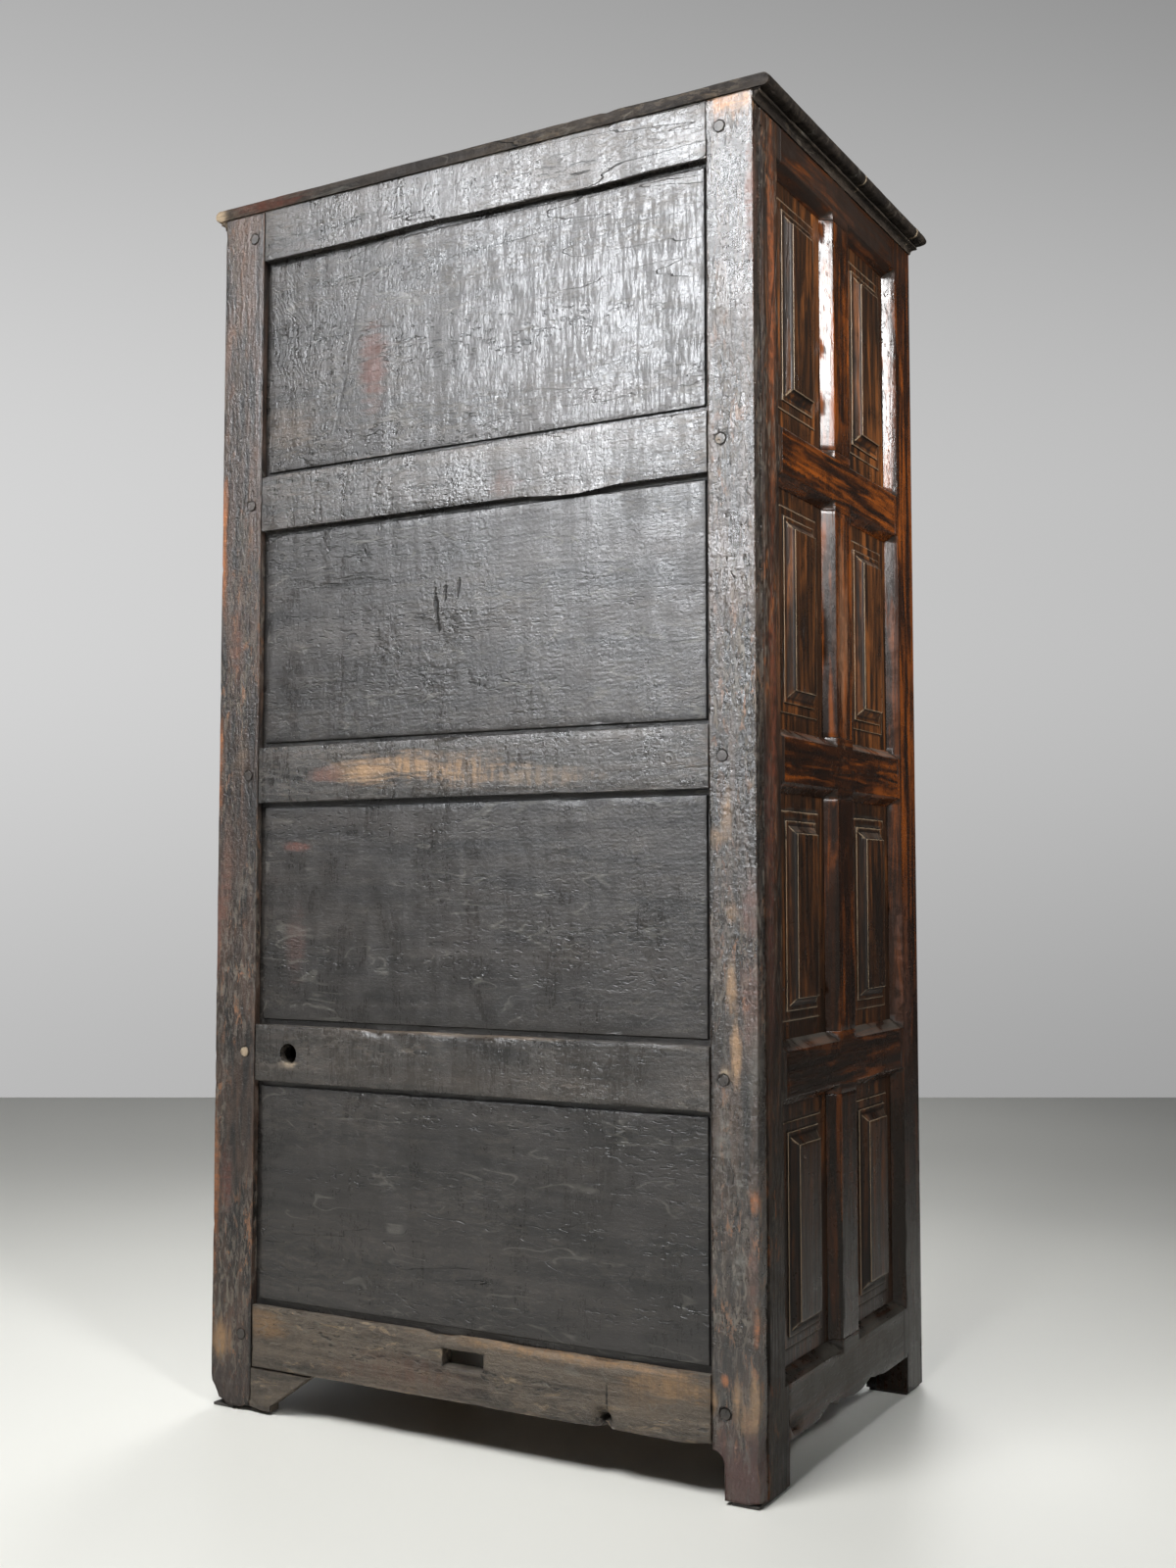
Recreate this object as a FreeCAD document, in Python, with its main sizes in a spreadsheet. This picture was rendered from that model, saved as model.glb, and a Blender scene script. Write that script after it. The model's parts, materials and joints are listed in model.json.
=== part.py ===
# Fall-front cabinet of framed and panelled wood.
# Millimetres. The origin is on the floor under the middle of the cabinet and +Z is up.
# The fall leaf and the doors face -Y, and the panelled back faces +Y.

import FreeCAD, Part
import os
import re

import Sketcher

SIZES = {
    # Carcass without the overhang of its top
    "carcass_width": 800,
    "carcass_depth": 556,
    "carcass_height": 1620,
    "pad_thickness": 4,
    "pad_margin": 3,
    # Top board and the cornice strips below it
    "top_thickness": 18,
    "top_overhang": 22,
    "cornice_reach": 10,
    "cornice_height": 14,
    "cove_radius": 8.5,
    # Heights of the middles of the rails that go round the cabinet
    "lower_level": 471,
    "middle_level": 841,
    "upper_level": 1211,
    # Joinery
    "groove_reach": 12,
    "tongue_reach": 10,
    "panel_play": 0.2,
    "peg_radius": 7,
    "peg_setback": 17,
    "peg_length": 46,
    # Back frame
    "back_thickness": 24,
    "back_left_stile": 60,
    "back_right_stile": 68,
    "back_rail": 76,
    "back_top_rail": 71,
    "back_bottom_rail": 83,
    "back_clearance": 58,
    "back_tenon_depth": 8,
    "back_tenon_thickness": 8,
    "back_tenon_length": 40,
    "back_tongue": 6,
    "back_tongue_depth": 12,
    "back_field_depth": 8,
    "back_field_gap": 5.5,
    "cable_hole_radius": 12.5,
    "cable_hole_offset": 275,
    "slot_width": 57,
    "slot_height": 17,
    "slot_bottom": 103,
    "slot_offset": 3,
    "foot_inset": 15,
    "bracket_length": 100,
    "bracket_toe": 34,
    "bracket_thickness": 20,
    "bracket_lift": 8,
    # Side frames
    "side_thickness": 40,
    "side_stile": 60,
    "side_muntin": 78,
    "side_rail": 78,
    "side_top_rail": 68,
    "side_bottom_rail": 77,
    "side_clearance": 53,
    "side_splay_run": 12,
    "side_splay_depth": 16,
    "side_tongue": 8,
    "side_tenon_depth": 15,
    "side_tenon_thickness": 12,
    "side_tenon_length": 36,
    "side_muntin_tenon": 20,
    "seam_width": 5,
    "seam_depth": 12,
    "post_width": 60,
    "post_depth": 74,
    "post_foot_inset": 14,
    # Raised panels of the sides
    "side_margin": 20,
    "side_outer_step": 1.5,
    "side_outer_ledge": 12,
    "side_step": 2,
    "side_ledge": 6,
    "side_slope_run": 9,
    "side_slope_rise": 7,
    # Front frame
    "front_rail_thickness": 40,
    "front_top_rail": 71,
    "front_rail": 76,
    "front_bottom_rail": 83,
    "front_tenon_depth": 14,
    "front_tenon_thickness": 12,
    "front_tenon_length": 36,
    "stop_height": 12,
    "stop_thickness": 17,
    "stop_gap": 0.5,
    # Fall leaf and doors
    "leaf_thickness": 34,
    "leaf_gap": 2,
    "leaf_floor_gap": 3,
    "leaf_stile": 74,
    "leaf_top_rail": 80,
    "leaf_rail": 78,
    "leaf_bottom_rail": 84,
    "leaf_splay_run": 9,
    "leaf_splay_depth": 11,
    "leaf_tongue": 8,
    "leaf_tenon_depth": 10,
    "leaf_tenon_thickness": 10,
    "leaf_tenon_length": 36,
    "leaf_muntin_tenon": 14,
    "leaf_margin": 20,
    "leaf_outer_step": 1,
    "leaf_outer_ledge": 10,
    "leaf_step": 2,
    "leaf_ledge": 6,
    "leaf_slope_run": 8,
    "leaf_slope_rise": 5,
    # Iron pivot pins
    "pin_radius": 6,
    "pin_clearance": 0.05,
    "pin_hold": 30,
    "pin_end_gap": 0.3,
    # Lock of the fall leaf
    "lock_plate_width": 62,
    "lock_plate_height": 70,
    "lock_plate_thickness": 2.5,
    "lock_plate_corner": 12,
    "lock_case_width": 84,
    "lock_case_height": 50,
    "lock_case_depth": 14,
    "lock_case_drop": 10,
    "bolt_width": 30,
    "bolt_thickness": 8,
    "bolt_height": 40,
    "bolt_drop": 0.4,
    "bolt_play": 0.3,
    "bolt_travel": 12,
    "bolt_mortise_room": 2,
    "keyhole_radius": 5,
    "keyhole_slot": 4,
    "keyhole_drop": 16,
    # Ring pull of the fall leaf
    "ring_radius": 28,
    "ring_section": 6,
    "ring_offset": 9.5,
    "eye_width": 8,
    "eye_wall": 4,
    "eye_hole_radius": 5.4,
    "ring_plate_radius": 22,
    "ring_plate_thickness": 3,
    # Knobs of the doors and lopers
    "knob_length": 20,
    "knob_neck_radius": 8,
    "knob_belly_radius": 14,
    "knob_belly_height": 12,
    "knob_face_radius": 9,
    "knob_inset": 37,
    # Lopers, which slide out below the fall leaf, and what guides them
    "loper_width": 34,
    "loper_height": 50,
    "loper_length": 420,
    "loper_inset": 36,
    "loper_play": 0.3,
    "loper_rise_gap": 0.4,
    "loper_travel": 300,
    "stop_peg": 10,
    "stop_peg_height": 11,
    "stop_peg_setback": 25,
    "guide_thickness": 19,
    "guide_length": 386,
    # Boards inside
    "board_thickness": 18,
    "shelf_below_hole": 6,
    "board_play": 0.5,
    "deck_gap": 1,
    "batten_width": 18,
    "batten_height": 20,
    "pigeonhole_thickness": 16,
    "pigeonhole_setback": 117,
    "divider_thickness": 14,
    "divider_offset": 122,
    "divider_housing": 5,
}

# Places that several pieces share
FRONT = "((top_overhang - carcass_depth) / 2)"
BACK = "((top_overhang + carcass_depth) / 2)"
LEFT = "(-carcass_width / 2)"
INNER_BACK = f"({BACK} - back_thickness)"
INNER_LEFT = f"({LEFT} + side_thickness)"
OPENING_LEFT = f"({LEFT} + post_width)"
OPENING_WIDTH = "(carcass_width - 2 * post_width)"
BAY_TOP = "(carcass_height - front_top_rail)"
MIDDLE_RAIL_TOP = "(middle_level + front_rail / 2)"
MIDDLE_RAIL_FOOT = "(middle_level - front_rail / 2)"
BOTTOM_RAIL_TOP = "(back_clearance + front_bottom_rail)"
LEAF_MIDDLE = f"({FRONT} + leaf_thickness / 2)"

doc = FreeCAD.newDocument("FallFrontCabinet")
nodes = []


def make_sheet():
    """Write every size into the document's spreadsheet under its own alias."""
    sheet = doc.addObject("Spreadsheet::Sheet", "Sizes")
    for row, (name, size) in enumerate(SIZES.items(), start=1):
        sheet.set(f"A{row}", name)
        sheet.set(f"B{row}", str(size))
        sheet.setAlias(f"B{row}", name)
    doc.recompute()


def bind(text):
    """Turn size names in an expression into references to the spreadsheet."""
    def cell(found):
        word = found.group()
        return "Sizes." + word if word in SIZES else word
    return re.sub(r"[a-z][a-z_]*", cell, text)


def tie(thing, **sizes):
    """Bind properties of an object to expressions of the sizes."""
    for name, text in sizes.items():
        thing.setExpression(name, bind(text))


def put(thing, x, y, z, axis=(0, 0, 1), turn=0):
    """Turn an object about an axis and bind its place to expressions."""
    rotation = FreeCAD.Rotation(FreeCAD.Vector(*axis), turn)
    thing.Placement = FreeCAD.Placement(FreeCAD.Vector(0, 0, 0), rotation)
    for name, text in zip("xyz", (x, y, z)):
        thing.setExpression("Placement.Base." + name, bind(text))
    return thing


def node(label, thing):
    """Keep an object as one named sub-part of the cabinet."""
    thing.Label = label
    nodes.append(thing)
    return thing


def box(name, x, y, z, across, deep, tall):
    """A straight block from its lowest corner and its three sizes."""
    block = doc.addObject("Part::Box", name)
    tie(block, Length=across, Width=deep, Height=tall)
    return put(block, x, y, z)


def tapered(name, x, y, z, across, deep, tall, taper):
    """A block whose four sides close in by the taper along +Y."""
    block = doc.addObject("Part::Wedge", name)
    tie(block, Xmin="0", Xmax=across, Ymin="0", Ymax=deep, Zmin="0", Zmax=tall)
    tie(block, X2min=taper, X2max=f"{across} - {taper}", Z2min=taper, Z2max=f"{tall} - {taper}")
    return put(block, x, y, z)


AXES = {"x": ((0, 1, 0), 90), "y": ((1, 0, 0), -90), "z": ((0, 0, 1), 0)}


def rod(name, along, x, y, z, radius, length):
    """A round rod that starts at a point and runs along one axis."""
    piece = doc.addObject("Part::Cylinder", name)
    tie(piece, Radius=radius, Height=length)
    return put(piece, x, y, z, *AXES[along])


def prism(name, along, x, y, z, radius, length, sides=8):
    """A regular prism, such as a peg, that starts at a point and runs along one axis."""
    piece = doc.addObject("Part::Prism", name)
    piece.Polygon = sides
    tie(piece, Circumradius=radius, Height=length)
    return put(piece, x, y, z, *AXES[along])


def fuse(name, pieces):
    """Join pieces into one solid."""
    if len(pieces) == 1:
        return pieces[0]
    whole = doc.addObject("Part::MultiFuse", name)
    whole.Shapes = pieces
    return whole


def cut(name, base, tools):
    """Take tools out of a base."""
    rest = doc.addObject("Part::Cut", name)
    rest.Base = base
    rest.Tool = fuse(name + "_tools", tools)
    return rest


def group(name, pieces):
    """Keep separate solids together in one object."""
    whole = doc.addObject("Part::Compound", name)
    whole.Links = pieces
    return whole


def mirrored(name, source):
    """The same piece on the other side of the cabinet."""
    twin = doc.addObject("Part::Mirroring", name)
    twin.Source = source
    twin.Normal = FreeCAD.Vector(1, 0, 0)
    return twin


def outline_body(name, plane, corners, length):
    """A body padded from a closed outline, with each corner bound to the sizes.

    The outline lies on one of the body's origin planes, and its corners are given as
    positive distances along the plane's two axes.
    """
    body = doc.addObject("PartDesign::Body", name)
    sketch = body.newObject("Sketcher::SketchObject", name + "_outline")
    base = [part for part in body.Origin.OriginFeatures if part.Role == plane]
    sketch.AttachmentSupport = [(base[0], "")]
    sketch.MapMode = "FlatFace"
    count = len(corners)
    points = [FreeCAD.Vector(10 * index, 10 * index * (count - index), 0) for index in range(count)]
    for index in range(count):
        sketch.addGeometry(Part.LineSegment(points[index], points[(index + 1) % count]))
    for index in range(count):
        following = (index + 1) % count
        sketch.addConstraint(Sketcher.Constraint("Coincident", index, 2, following, 1))
    for index, places in enumerate(corners):
        for kind, text in zip(("DistanceX", "DistanceY"), places):
            rule = sketch.addConstraint(Sketcher.Constraint(kind, -1, 1, index, 1, 1.0))
            sketch.setExpression(f"Constraints[{rule}]", bind(text))
    pad = body.newObject("PartDesign::Pad", name + "_pad")
    pad.Profile = sketch
    tie(pad, Length=length)
    return body


class Framing:
    """A frame of grooved members round loose panels, laid out flat.

    u runs across the frame, d goes in from its outer face and z is up. Rails lie
    between the uprights and carry tenons, and muntins stand between the rails.
    """

    def __init__(self, name, prefix, thickness, rails, columns, groove_depth, splay):
        self.name = name
        self.prefix = prefix
        self.thickness = thickness
        self.rails = rails
        self.columns = columns
        self.groove_depth = groove_depth
        self.rows = [(below[1], above[0]) for below, above in zip(rails, rails[1:])]
        self.openings = fuse(f"{name}_openings", self.opening_cutters(splay))
        self.rail_tenons = []
        self.muntin_tenons = []
        self.rail_blocks = []

    def cells(self):
        """Each sight opening with its number."""
        for row, (low, high) in enumerate(self.rows, start=1):
            for column, (near, far) in enumerate(self.columns, start=1):
                yield f"{self.name}_{row}_{column}", near, far, low, high

    def opening_cutters(self, splay):
        """The panel grooves and, where the frame has them, the splayed edges."""
        cutters = []
        groove = f"{self.prefix}_tongue + 2 * panel_play"
        for name, near, far, low, high in self.cells():
            cutters.append(box(f"{name}_groove", f"{near} - groove_reach", self.groove_depth,
                               f"{low} - groove_reach", f"{far} - {near} + 2 * groove_reach", groove,
                               f"{high} - {low} + 2 * groove_reach"))
            if splay:
                run = f"{self.prefix}_splay_run"
                cutters.append(tapered(f"{name}_splay", f"{near} - {run}", "0", f"{low} - {run}",
                                       f"({far} - {near} + 2 * {run})", self.groove_depth,
                                       f"({high} - {low} + 2 * {run})", run))
        return cutters

    def tenon(self, name, u, z, across, tall):
        """One tenon at the frame's tenon depth."""
        return box(name, u, f"{self.prefix}_tenon_depth", z, across,
                   f"{self.prefix}_tenon_thickness", tall)

    def lay_rails(self, near, far):
        """Cross rails between the two uprights, with a tenon at each end."""
        length = f"{self.prefix}_tenon_length"
        for number, (low, high) in enumerate(self.rails, start=1):
            name = f"{self.name}_rail_{number}"
            block = box(f"{name}_block", near, "0", low, f"{far} - {near}", self.thickness,
                        f"{high} - {low}")
            z = f"{low} + groove_reach"
            tall = f"{high} - {low} - 2 * groove_reach"
            tenons = [self.tenon(f"{name}_near_tenon", f"{near} - {length}", z, length, tall),
                      self.tenon(f"{name}_far_tenon", far, z, length, tall)]
            self.rail_tenons += tenons
            self.rail_blocks.append(fuse(f"{name}_tenoned", [block] + tenons))

    def stand_muntins(self):
        """Short uprights between the rails, one between each pair of panels."""
        muntins = []
        reach = f"{self.prefix}_muntin_tenon"
        pairs = list(zip(self.columns, self.columns[1:]))
        for row, (low, high) in enumerate(self.rows, start=1):
            for (_, near), (far, _) in pairs:
                name = f"{self.name}_muntin_{row}"
                block = box(f"{name}_block", near, "0", low, f"{far} - {near}", self.thickness,
                            f"{high} - {low}")
                u = f"{near} + groove_reach"
                across = f"{far} - {near} - 2 * groove_reach"
                tenons = [self.tenon(f"{name}_foot", u, f"{low} - {reach}", across, reach),
                          self.tenon(f"{name}_head", u, high, across, reach)]
                self.muntin_tenons += tenons
                muntins.append(cut(name, fuse(f"{name}_tenoned", [block] + tenons), [self.openings]))
        return muntins

    def finished_rail(self, number, extra=()):
        """One rail with its grooves, splays, mortises and any further cuts."""
        tools = [self.openings] + self.muntin_tenons + list(extra)
        return cut(f"{self.name}_rail_{number}", self.rail_blocks[number - 1], tools)

    def upright(self, name, near, far, low, high, deep, extra=()):
        """A stile or post with its grooves, splays and mortises."""
        block = box(f"{name}_block", near, "0", low, f"{far} - {near}", deep, f"{high} - {low}")
        return cut(f"{name}_worked", block, [self.openings] + self.rail_tenons + list(extra))

    def raised_panels(self):
        """Panels with a tongue, a flat margin, two stepped ledges, a slope and a raised field."""
        start = f"({self.groove_depth} + panel_play)"
        margin = f"{self.prefix}_margin"
        inner_margin = f"({margin} + {self.prefix}_outer_ledge)"
        low_step = f"{self.prefix}_outer_step"
        step = f"{self.prefix}_step"
        ledge = f"{self.prefix}_ledge"
        run = f"{self.prefix}_slope_run"
        rise = f"{self.prefix}_slope_rise"
        panels = []
        for name, near, far, low, high in self.cells():
            def layer(part, inset, top, deep, taper=None):
                place = (f"{near} + {inset}", top, f"{low} + {inset}")
                across = f"({far} - {near} - 2 * ({inset}))"
                tall = f"({high} - {low} - 2 * ({inset}))"
                if taper is None:
                    return box(f"{name}_{part}", *place, across, deep, tall)
                return tapered(f"{name}_{part}", *place, across, deep, tall, taper)
            field = f"({inner_margin} + {ledge} + {run})"
            shelf = f"({start} - {low_step} - {step})"
            panels.append(fuse(f"{name}_panel", [
                layer("tongue", "-tongue_reach", start, f"{self.prefix}_tongue"),
                layer("outer_ledge", margin, f"{start} - {low_step}", low_step),
                layer("ledge", inner_margin, shelf, step),
                layer("slope", field, f"{shelf} - {rise}", rise, f"(-{run})"),
                layer("field", field, f"{shelf} - {rise} - {step}", step),
            ]))
        return panels


def level(name, width):
    """The lower and upper edge of a rail round one of the shared levels."""
    return f"({name} - {width} / 2)", f"({name} + {width} / 2)"


def make_back():
    """The framed back, laid out from its right stile and turned to face +Y."""
    rails = [("back_clearance", "(back_clearance + back_bottom_rail)"),
             level("lower_level", "back_rail"), level("middle_level", "back_rail"),
             level("upper_level", "back_rail"),
             ("(carcass_height - back_top_rail)", "carcass_height")]
    near = "back_right_stile"
    far = "(carcass_width - back_left_stile)"
    frame = Framing("back", "back", "back_thickness", rails, [(near, far)], "back_tongue_depth", False)
    frame.lay_rails(near, far)

    pegs = []
    for number, (low, high) in enumerate(rails, start=1):
        for side, u in (("right", f"{near} - peg_setback"), ("left", f"{far} + peg_setback")):
            pegs.append(prism(f"back_peg_{side}_{number}", "y", u, "0", f"({low} + {high}) / 2",
                              "peg_radius", "back_thickness"))

    middle = "carcass_width / 2"
    hole = rod("cable_hole", "y", f"{middle} - cable_hole_offset", "0", "lower_level",
               "cable_hole_radius", "back_thickness")
    slot = box("rail_slot", f"{middle} + slot_offset - slot_width / 2", "0", "slot_bottom",
               "slot_width", "back_thickness", "slot_height")
    near_foot = fuse("left_foot_cut", [
        box("left_foot_notch", far, "0", "0", "foot_inset", "back_thickness", "back_clearance - foot_inset"),
        rod("left_foot_curve", "y", far, "0", "back_clearance - foot_inset", "foot_inset", "back_thickness")])

    right = frame.upright("back_right_stile", "0", near, "pad_thickness", "carcass_height",
                          "back_thickness", pegs)
    left = frame.upright("back_left_stile", far, "carcass_width", "pad_thickness", "carcass_height",
                         "back_thickness", pegs + [near_foot])
    extra = {1: [slot], 2: [hole]}
    labels = ("bottom", "lower", "middle", "upper", "top")
    pieces = [("back_right_stile", right), ("back_left_stile", left)]
    for number, label in enumerate(labels, start=1):
        pieces.append((f"back_{label}_rail", frame.finished_rail(number, pegs + extra.get(number, []))))
    for label, (low, high) in zip(labels, frame.rows):
        pieces.append((f"back_{label}_panel", back_panel(f"back_{label}_panel", near, far, low, high)))
    pieces.append(("foot_bracket", foot_bracket(near)))
    for label, piece in pieces:
        node(label, put(piece, "carcass_width / 2", BACK, "0", turn=180))
    return put(group("back_pegs", pegs), "carcass_width / 2", BACK, "0", turn=180)


def back_panel(name, near, far, low, high):
    """A flat back panel: a thin tongue all round and a field rebated from the frame."""
    start = "(back_tongue_depth + panel_play)"
    tongue = box(f"{name}_tongue", f"{near} - tongue_reach", start, f"{low} - tongue_reach",
                 f"{far} - {near} + 2 * tongue_reach", "back_tongue", f"{high} - {low} + 2 * tongue_reach")
    field = box(f"{name}_field", f"{near} + back_field_gap", "back_field_depth", f"{low} + back_field_gap",
                f"{far} - {near} - 2 * back_field_gap", f"{start} - back_field_depth + back_tongue",
                f"{high} - {low} - 2 * back_field_gap")
    return fuse(f"{name}_solid", [tongue, field])


def foot_bracket(near):
    """The spandrel that fills the corner between the right back foot and the bottom rail."""
    corners = [("0", "0"), ("bracket_toe", "0"), ("bracket_toe", "bracket_lift"),
               ("bracket_length", "back_clearance - pad_thickness"),
               ("0", "back_clearance - pad_thickness")]
    plain = outline_body("bracket_blank", "XZ_Plane", corners, "bracket_thickness")
    put(plain, near, "bracket_thickness", "pad_thickness")
    return group("bracket", [plain])


def make_sides():
    """The left side frame, and the right one as its mirror image."""
    post = "(carcass_depth - back_thickness - post_depth)"
    width = f"(({post} - side_stile - side_muntin) / 2)"
    columns = [("side_stile", f"(side_stile + {width})"),
               (f"(side_stile + {width} + side_muntin)", post)]
    rails = [("side_clearance", "(side_clearance + side_bottom_rail)"),
             level("lower_level", "side_rail"), level("middle_level", "side_rail"),
             level("upper_level", "side_rail"),
             ("(carcass_height - side_top_rail)", "carcass_height")]
    frame = Framing("side", "side", "side_thickness", rails, columns, "side_splay_depth", True)
    frame.lay_rails("side_stile", post)
    muntins = frame.stand_muntins()

    seam = box("seam", "0", "0", "side_clearance + side_bottom_rail", "seam_width", "seam_depth",
               "carcass_height - side_clearance - side_bottom_rail - side_top_rail / 2")
    foot_cut = box("post_foot_cut", post, "0", "0", "post_foot_inset", "post_width", "side_clearance")
    stile = frame.upright("side_stile", "0", "side_stile", "pad_thickness", "carcass_height",
                          "side_thickness", [seam])
    corner_post = frame.upright("front_post", post, f"({post} + post_depth)", "pad_thickness",
                                "carcass_height", "post_width", [foot_cut])
    rail_group = group("side_rails", [frame.finished_rail(number) for number in range(1, 6)])
    pieces = [("back_stile", stile), ("rails", rail_group), ("muntins", group("side_muntins", muntins)),
              ("panels", group("side_panels", frame.raised_panels()))]
    for label, piece in pieces:
        put(piece, LEFT, INNER_BACK, "0", turn=-90)
        node(f"left_{label}", piece)
        node(f"right_{label}", mirrored(f"right_{label}", piece))
    return put(corner_post, LEFT, INNER_BACK, "0", turn=-90)


def make_top():
    """The top board, rounded on three edges, and the coved strips below it."""
    radius = "top_thickness / 2"
    width = "carcass_width + 2 * top_overhang"
    depth = "carcass_depth + top_overhang"
    edge = f"{LEFT} - top_overhang"
    lip = f"{FRONT} - top_overhang"
    middle = f"carcass_height + {radius}"
    sides = fuse("top_side_noses", [
        box("top_flat", f"{edge} + {radius}", lip, "carcass_height", f"{width} - top_thickness", depth,
            "top_thickness"),
        rod("top_left_nose", "y", f"{edge} + {radius}", lip, middle, radius, depth),
        rod("top_right_nose", "y", f"{edge} + {width} - {radius}", lip, middle, radius, depth)])
    front = fuse("top_front_nose", [
        box("top_rear", edge, f"{lip} + {radius}", "carcass_height", width, f"{depth} - {radius}",
            "top_thickness"),
        rod("top_nose", "x", edge, f"{lip} + {radius}", middle, radius, width)])
    board = doc.addObject("Part::Common", "top_board")
    board.Base = sides
    board.Tool = front
    node("top_board", board)
    node("cornice_strips", make_cornice())


def make_cornice():
    """Coved strips along both sides and the front, mitred at the front corners."""
    low = "carcass_height - cornice_height"
    run = "carcass_depth + cornice_reach"
    start = f"{FRONT} - cornice_reach"
    edge = f"{LEFT} - cornice_reach"
    width = "carcass_width + 2 * cornice_reach"
    side_plan = outline_body("side_strip_plan", "XY_Plane", [
        ("0", "0"), ("cornice_reach", "cornice_reach"), ("cornice_reach", run), ("0", run)],
        "cornice_height")
    put(side_plan, edge, start, low)
    side_strip = cut("side_strip", side_plan, [
        rod("side_cove", "y", edge, start, low, "cove_radius", run)])
    front_plan = outline_body("front_strip_plan", "XY_Plane", [
        ("0", "0"), (width, "0"), (f"{width} - cornice_reach", "cornice_reach"),
        ("cornice_reach", "cornice_reach")], "cornice_height")
    put(front_plan, edge, start, low)
    front_strip = cut("front_strip", front_plan, [
        rod("front_cove", "x", edge, start, low, "cove_radius", width)])
    return group("cornice", [side_strip, front_strip, mirrored("other_side_strip", side_strip)])


def loper_left():
    """The left edge of the left loper."""
    return f"({OPENING_LEFT} + loper_inset)"


def make_front(corner_post, lock_mortise):
    """The front rails between the posts, the drawbore pegs and the pivot pins."""
    spans = {"bottom": ("back_clearance", BOTTOM_RAIL_TOP), "middle": level("middle_level", "front_rail"),
             "top": (BAY_TOP, "carcass_height")}
    pins = make_pins()
    tenons = []
    pegs = []
    rails = {}
    for label, (low, high) in spans.items():
        name = f"front_{label}_rail"
        if label == "top":
            block = box(f"{name}_block", OPENING_LEFT, FRONT, f"{low} - stop_height", OPENING_WIDTH,
                        "leaf_thickness + stop_gap + stop_thickness", f"{high} - {low} + stop_height")
        else:
            block = box(f"{name}_block", OPENING_LEFT, FRONT, low, OPENING_WIDTH, "front_rail_thickness",
                        f"{high} - {low}")
        tenon = box(f"{name}_tenon", f"{OPENING_LEFT} - front_tenon_length", f"{FRONT} + front_tenon_depth",
                    f"{low} + groove_reach", f"{OPENING_WIDTH} + 2 * front_tenon_length",
                    "front_tenon_thickness", f"{high} - {low} - 2 * groove_reach")
        peg = prism(f"{name}_peg", "y", f"{OPENING_LEFT} - peg_setback", FRONT, f"({low} + {high}) / 2",
                    "peg_radius", "peg_length")
        tenons.append(tenon)
        pegs += [peg, mirrored(f"{name}_other_peg", peg)]
        rails[label] = fuse(f"{name}_tenoned", [block, tenon])

    notch = box("loper_notch", f"{loper_left()} - loper_play", FRONT, loper_floor(),
                "loper_width + 2 * loper_play", "front_rail_thickness", "front_rail")
    rebate = box("stop_rebate", OPENING_LEFT, FRONT, f"{BAY_TOP} - stop_height", OPENING_WIDTH,
                 "leaf_thickness + stop_gap", "stop_height")
    node("front_top_rail", cut("front_top_rail", rails["top"], pegs + [rebate, lock_mortise]))
    node("front_middle_rail", cut("front_middle_rail", rails["middle"],
                                  pegs + pins["bores"] + [notch, mirrored("other_loper_notch", notch)]))
    node("front_bottom_rail", cut("front_bottom_rail", rails["bottom"], pegs + pins["bores"]))
    finished = cut("left_front_post", corner_post, tenons + pegs + pins["bores"])
    node("left_front_post", finished)
    node("right_front_post", mirrored("right_front_post", finished))
    node("pivot_pins", group("pivot_pins", pins["pins"]))
    return pegs


def make_pins():
    """The iron pins that the fall leaf and the doors turn on, and the bores that hold them."""
    reach = "pin_hold - pin_end_gap"
    bore = "pin_radius + pin_clearance"
    leaf_axis = f"{MIDDLE_RAIL_TOP} + leaf_floor_gap + leaf_thickness / 2"
    door_axis = f"{OPENING_LEFT} + leaf_gap + leaf_thickness / 2"
    places = {
        "fall": ("x", OPENING_LEFT, LEAF_MIDDLE, leaf_axis),
        "door_foot": ("z", door_axis, LEAF_MIDDLE, BOTTOM_RAIL_TOP),
        "door_head": ("z", door_axis, LEAF_MIDDLE, f"({MIDDLE_RAIL_FOOT} - leaf_gap)"),
    }
    made = {"pins": [], "bores": []}
    for name, (along, x, y, z) in places.items():
        back_off = {"x": (f"{x} - {{0}}", y, z), "z": (x, y, f"{z} - {{0}}")}[along]
        for kind, radius, hold in (("pins", "pin_radius", f"({reach})"), ("bores", bore, "pin_hold")):
            start = [text.format(hold) for text in back_off]
            piece = rod(f"{name}_{kind}", along, *start, radius, f"2 * {hold} + leaf_gap")
            made[kind] += [piece, mirrored(f"other_{name}_{kind}", piece)]
    return made


def round_edge(name, along, across, tall):
    """What is planed off a leaf to leave its pivot edge half round."""
    radius = "leaf_thickness / 2"
    if along == "x":
        block = box(f"{name}_block", "0", "0", "0", across, "leaf_thickness", radius)
    else:
        block = box(f"{name}_block", "0", "0", "0", radius, "leaf_thickness", tall)
    length = across if along == "x" else tall
    start = ("0", radius, radius) if along == "x" else (radius, radius, "0")
    return cut(name, block, [rod(f"{name}_round", along, *start, radius, length)])


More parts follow.
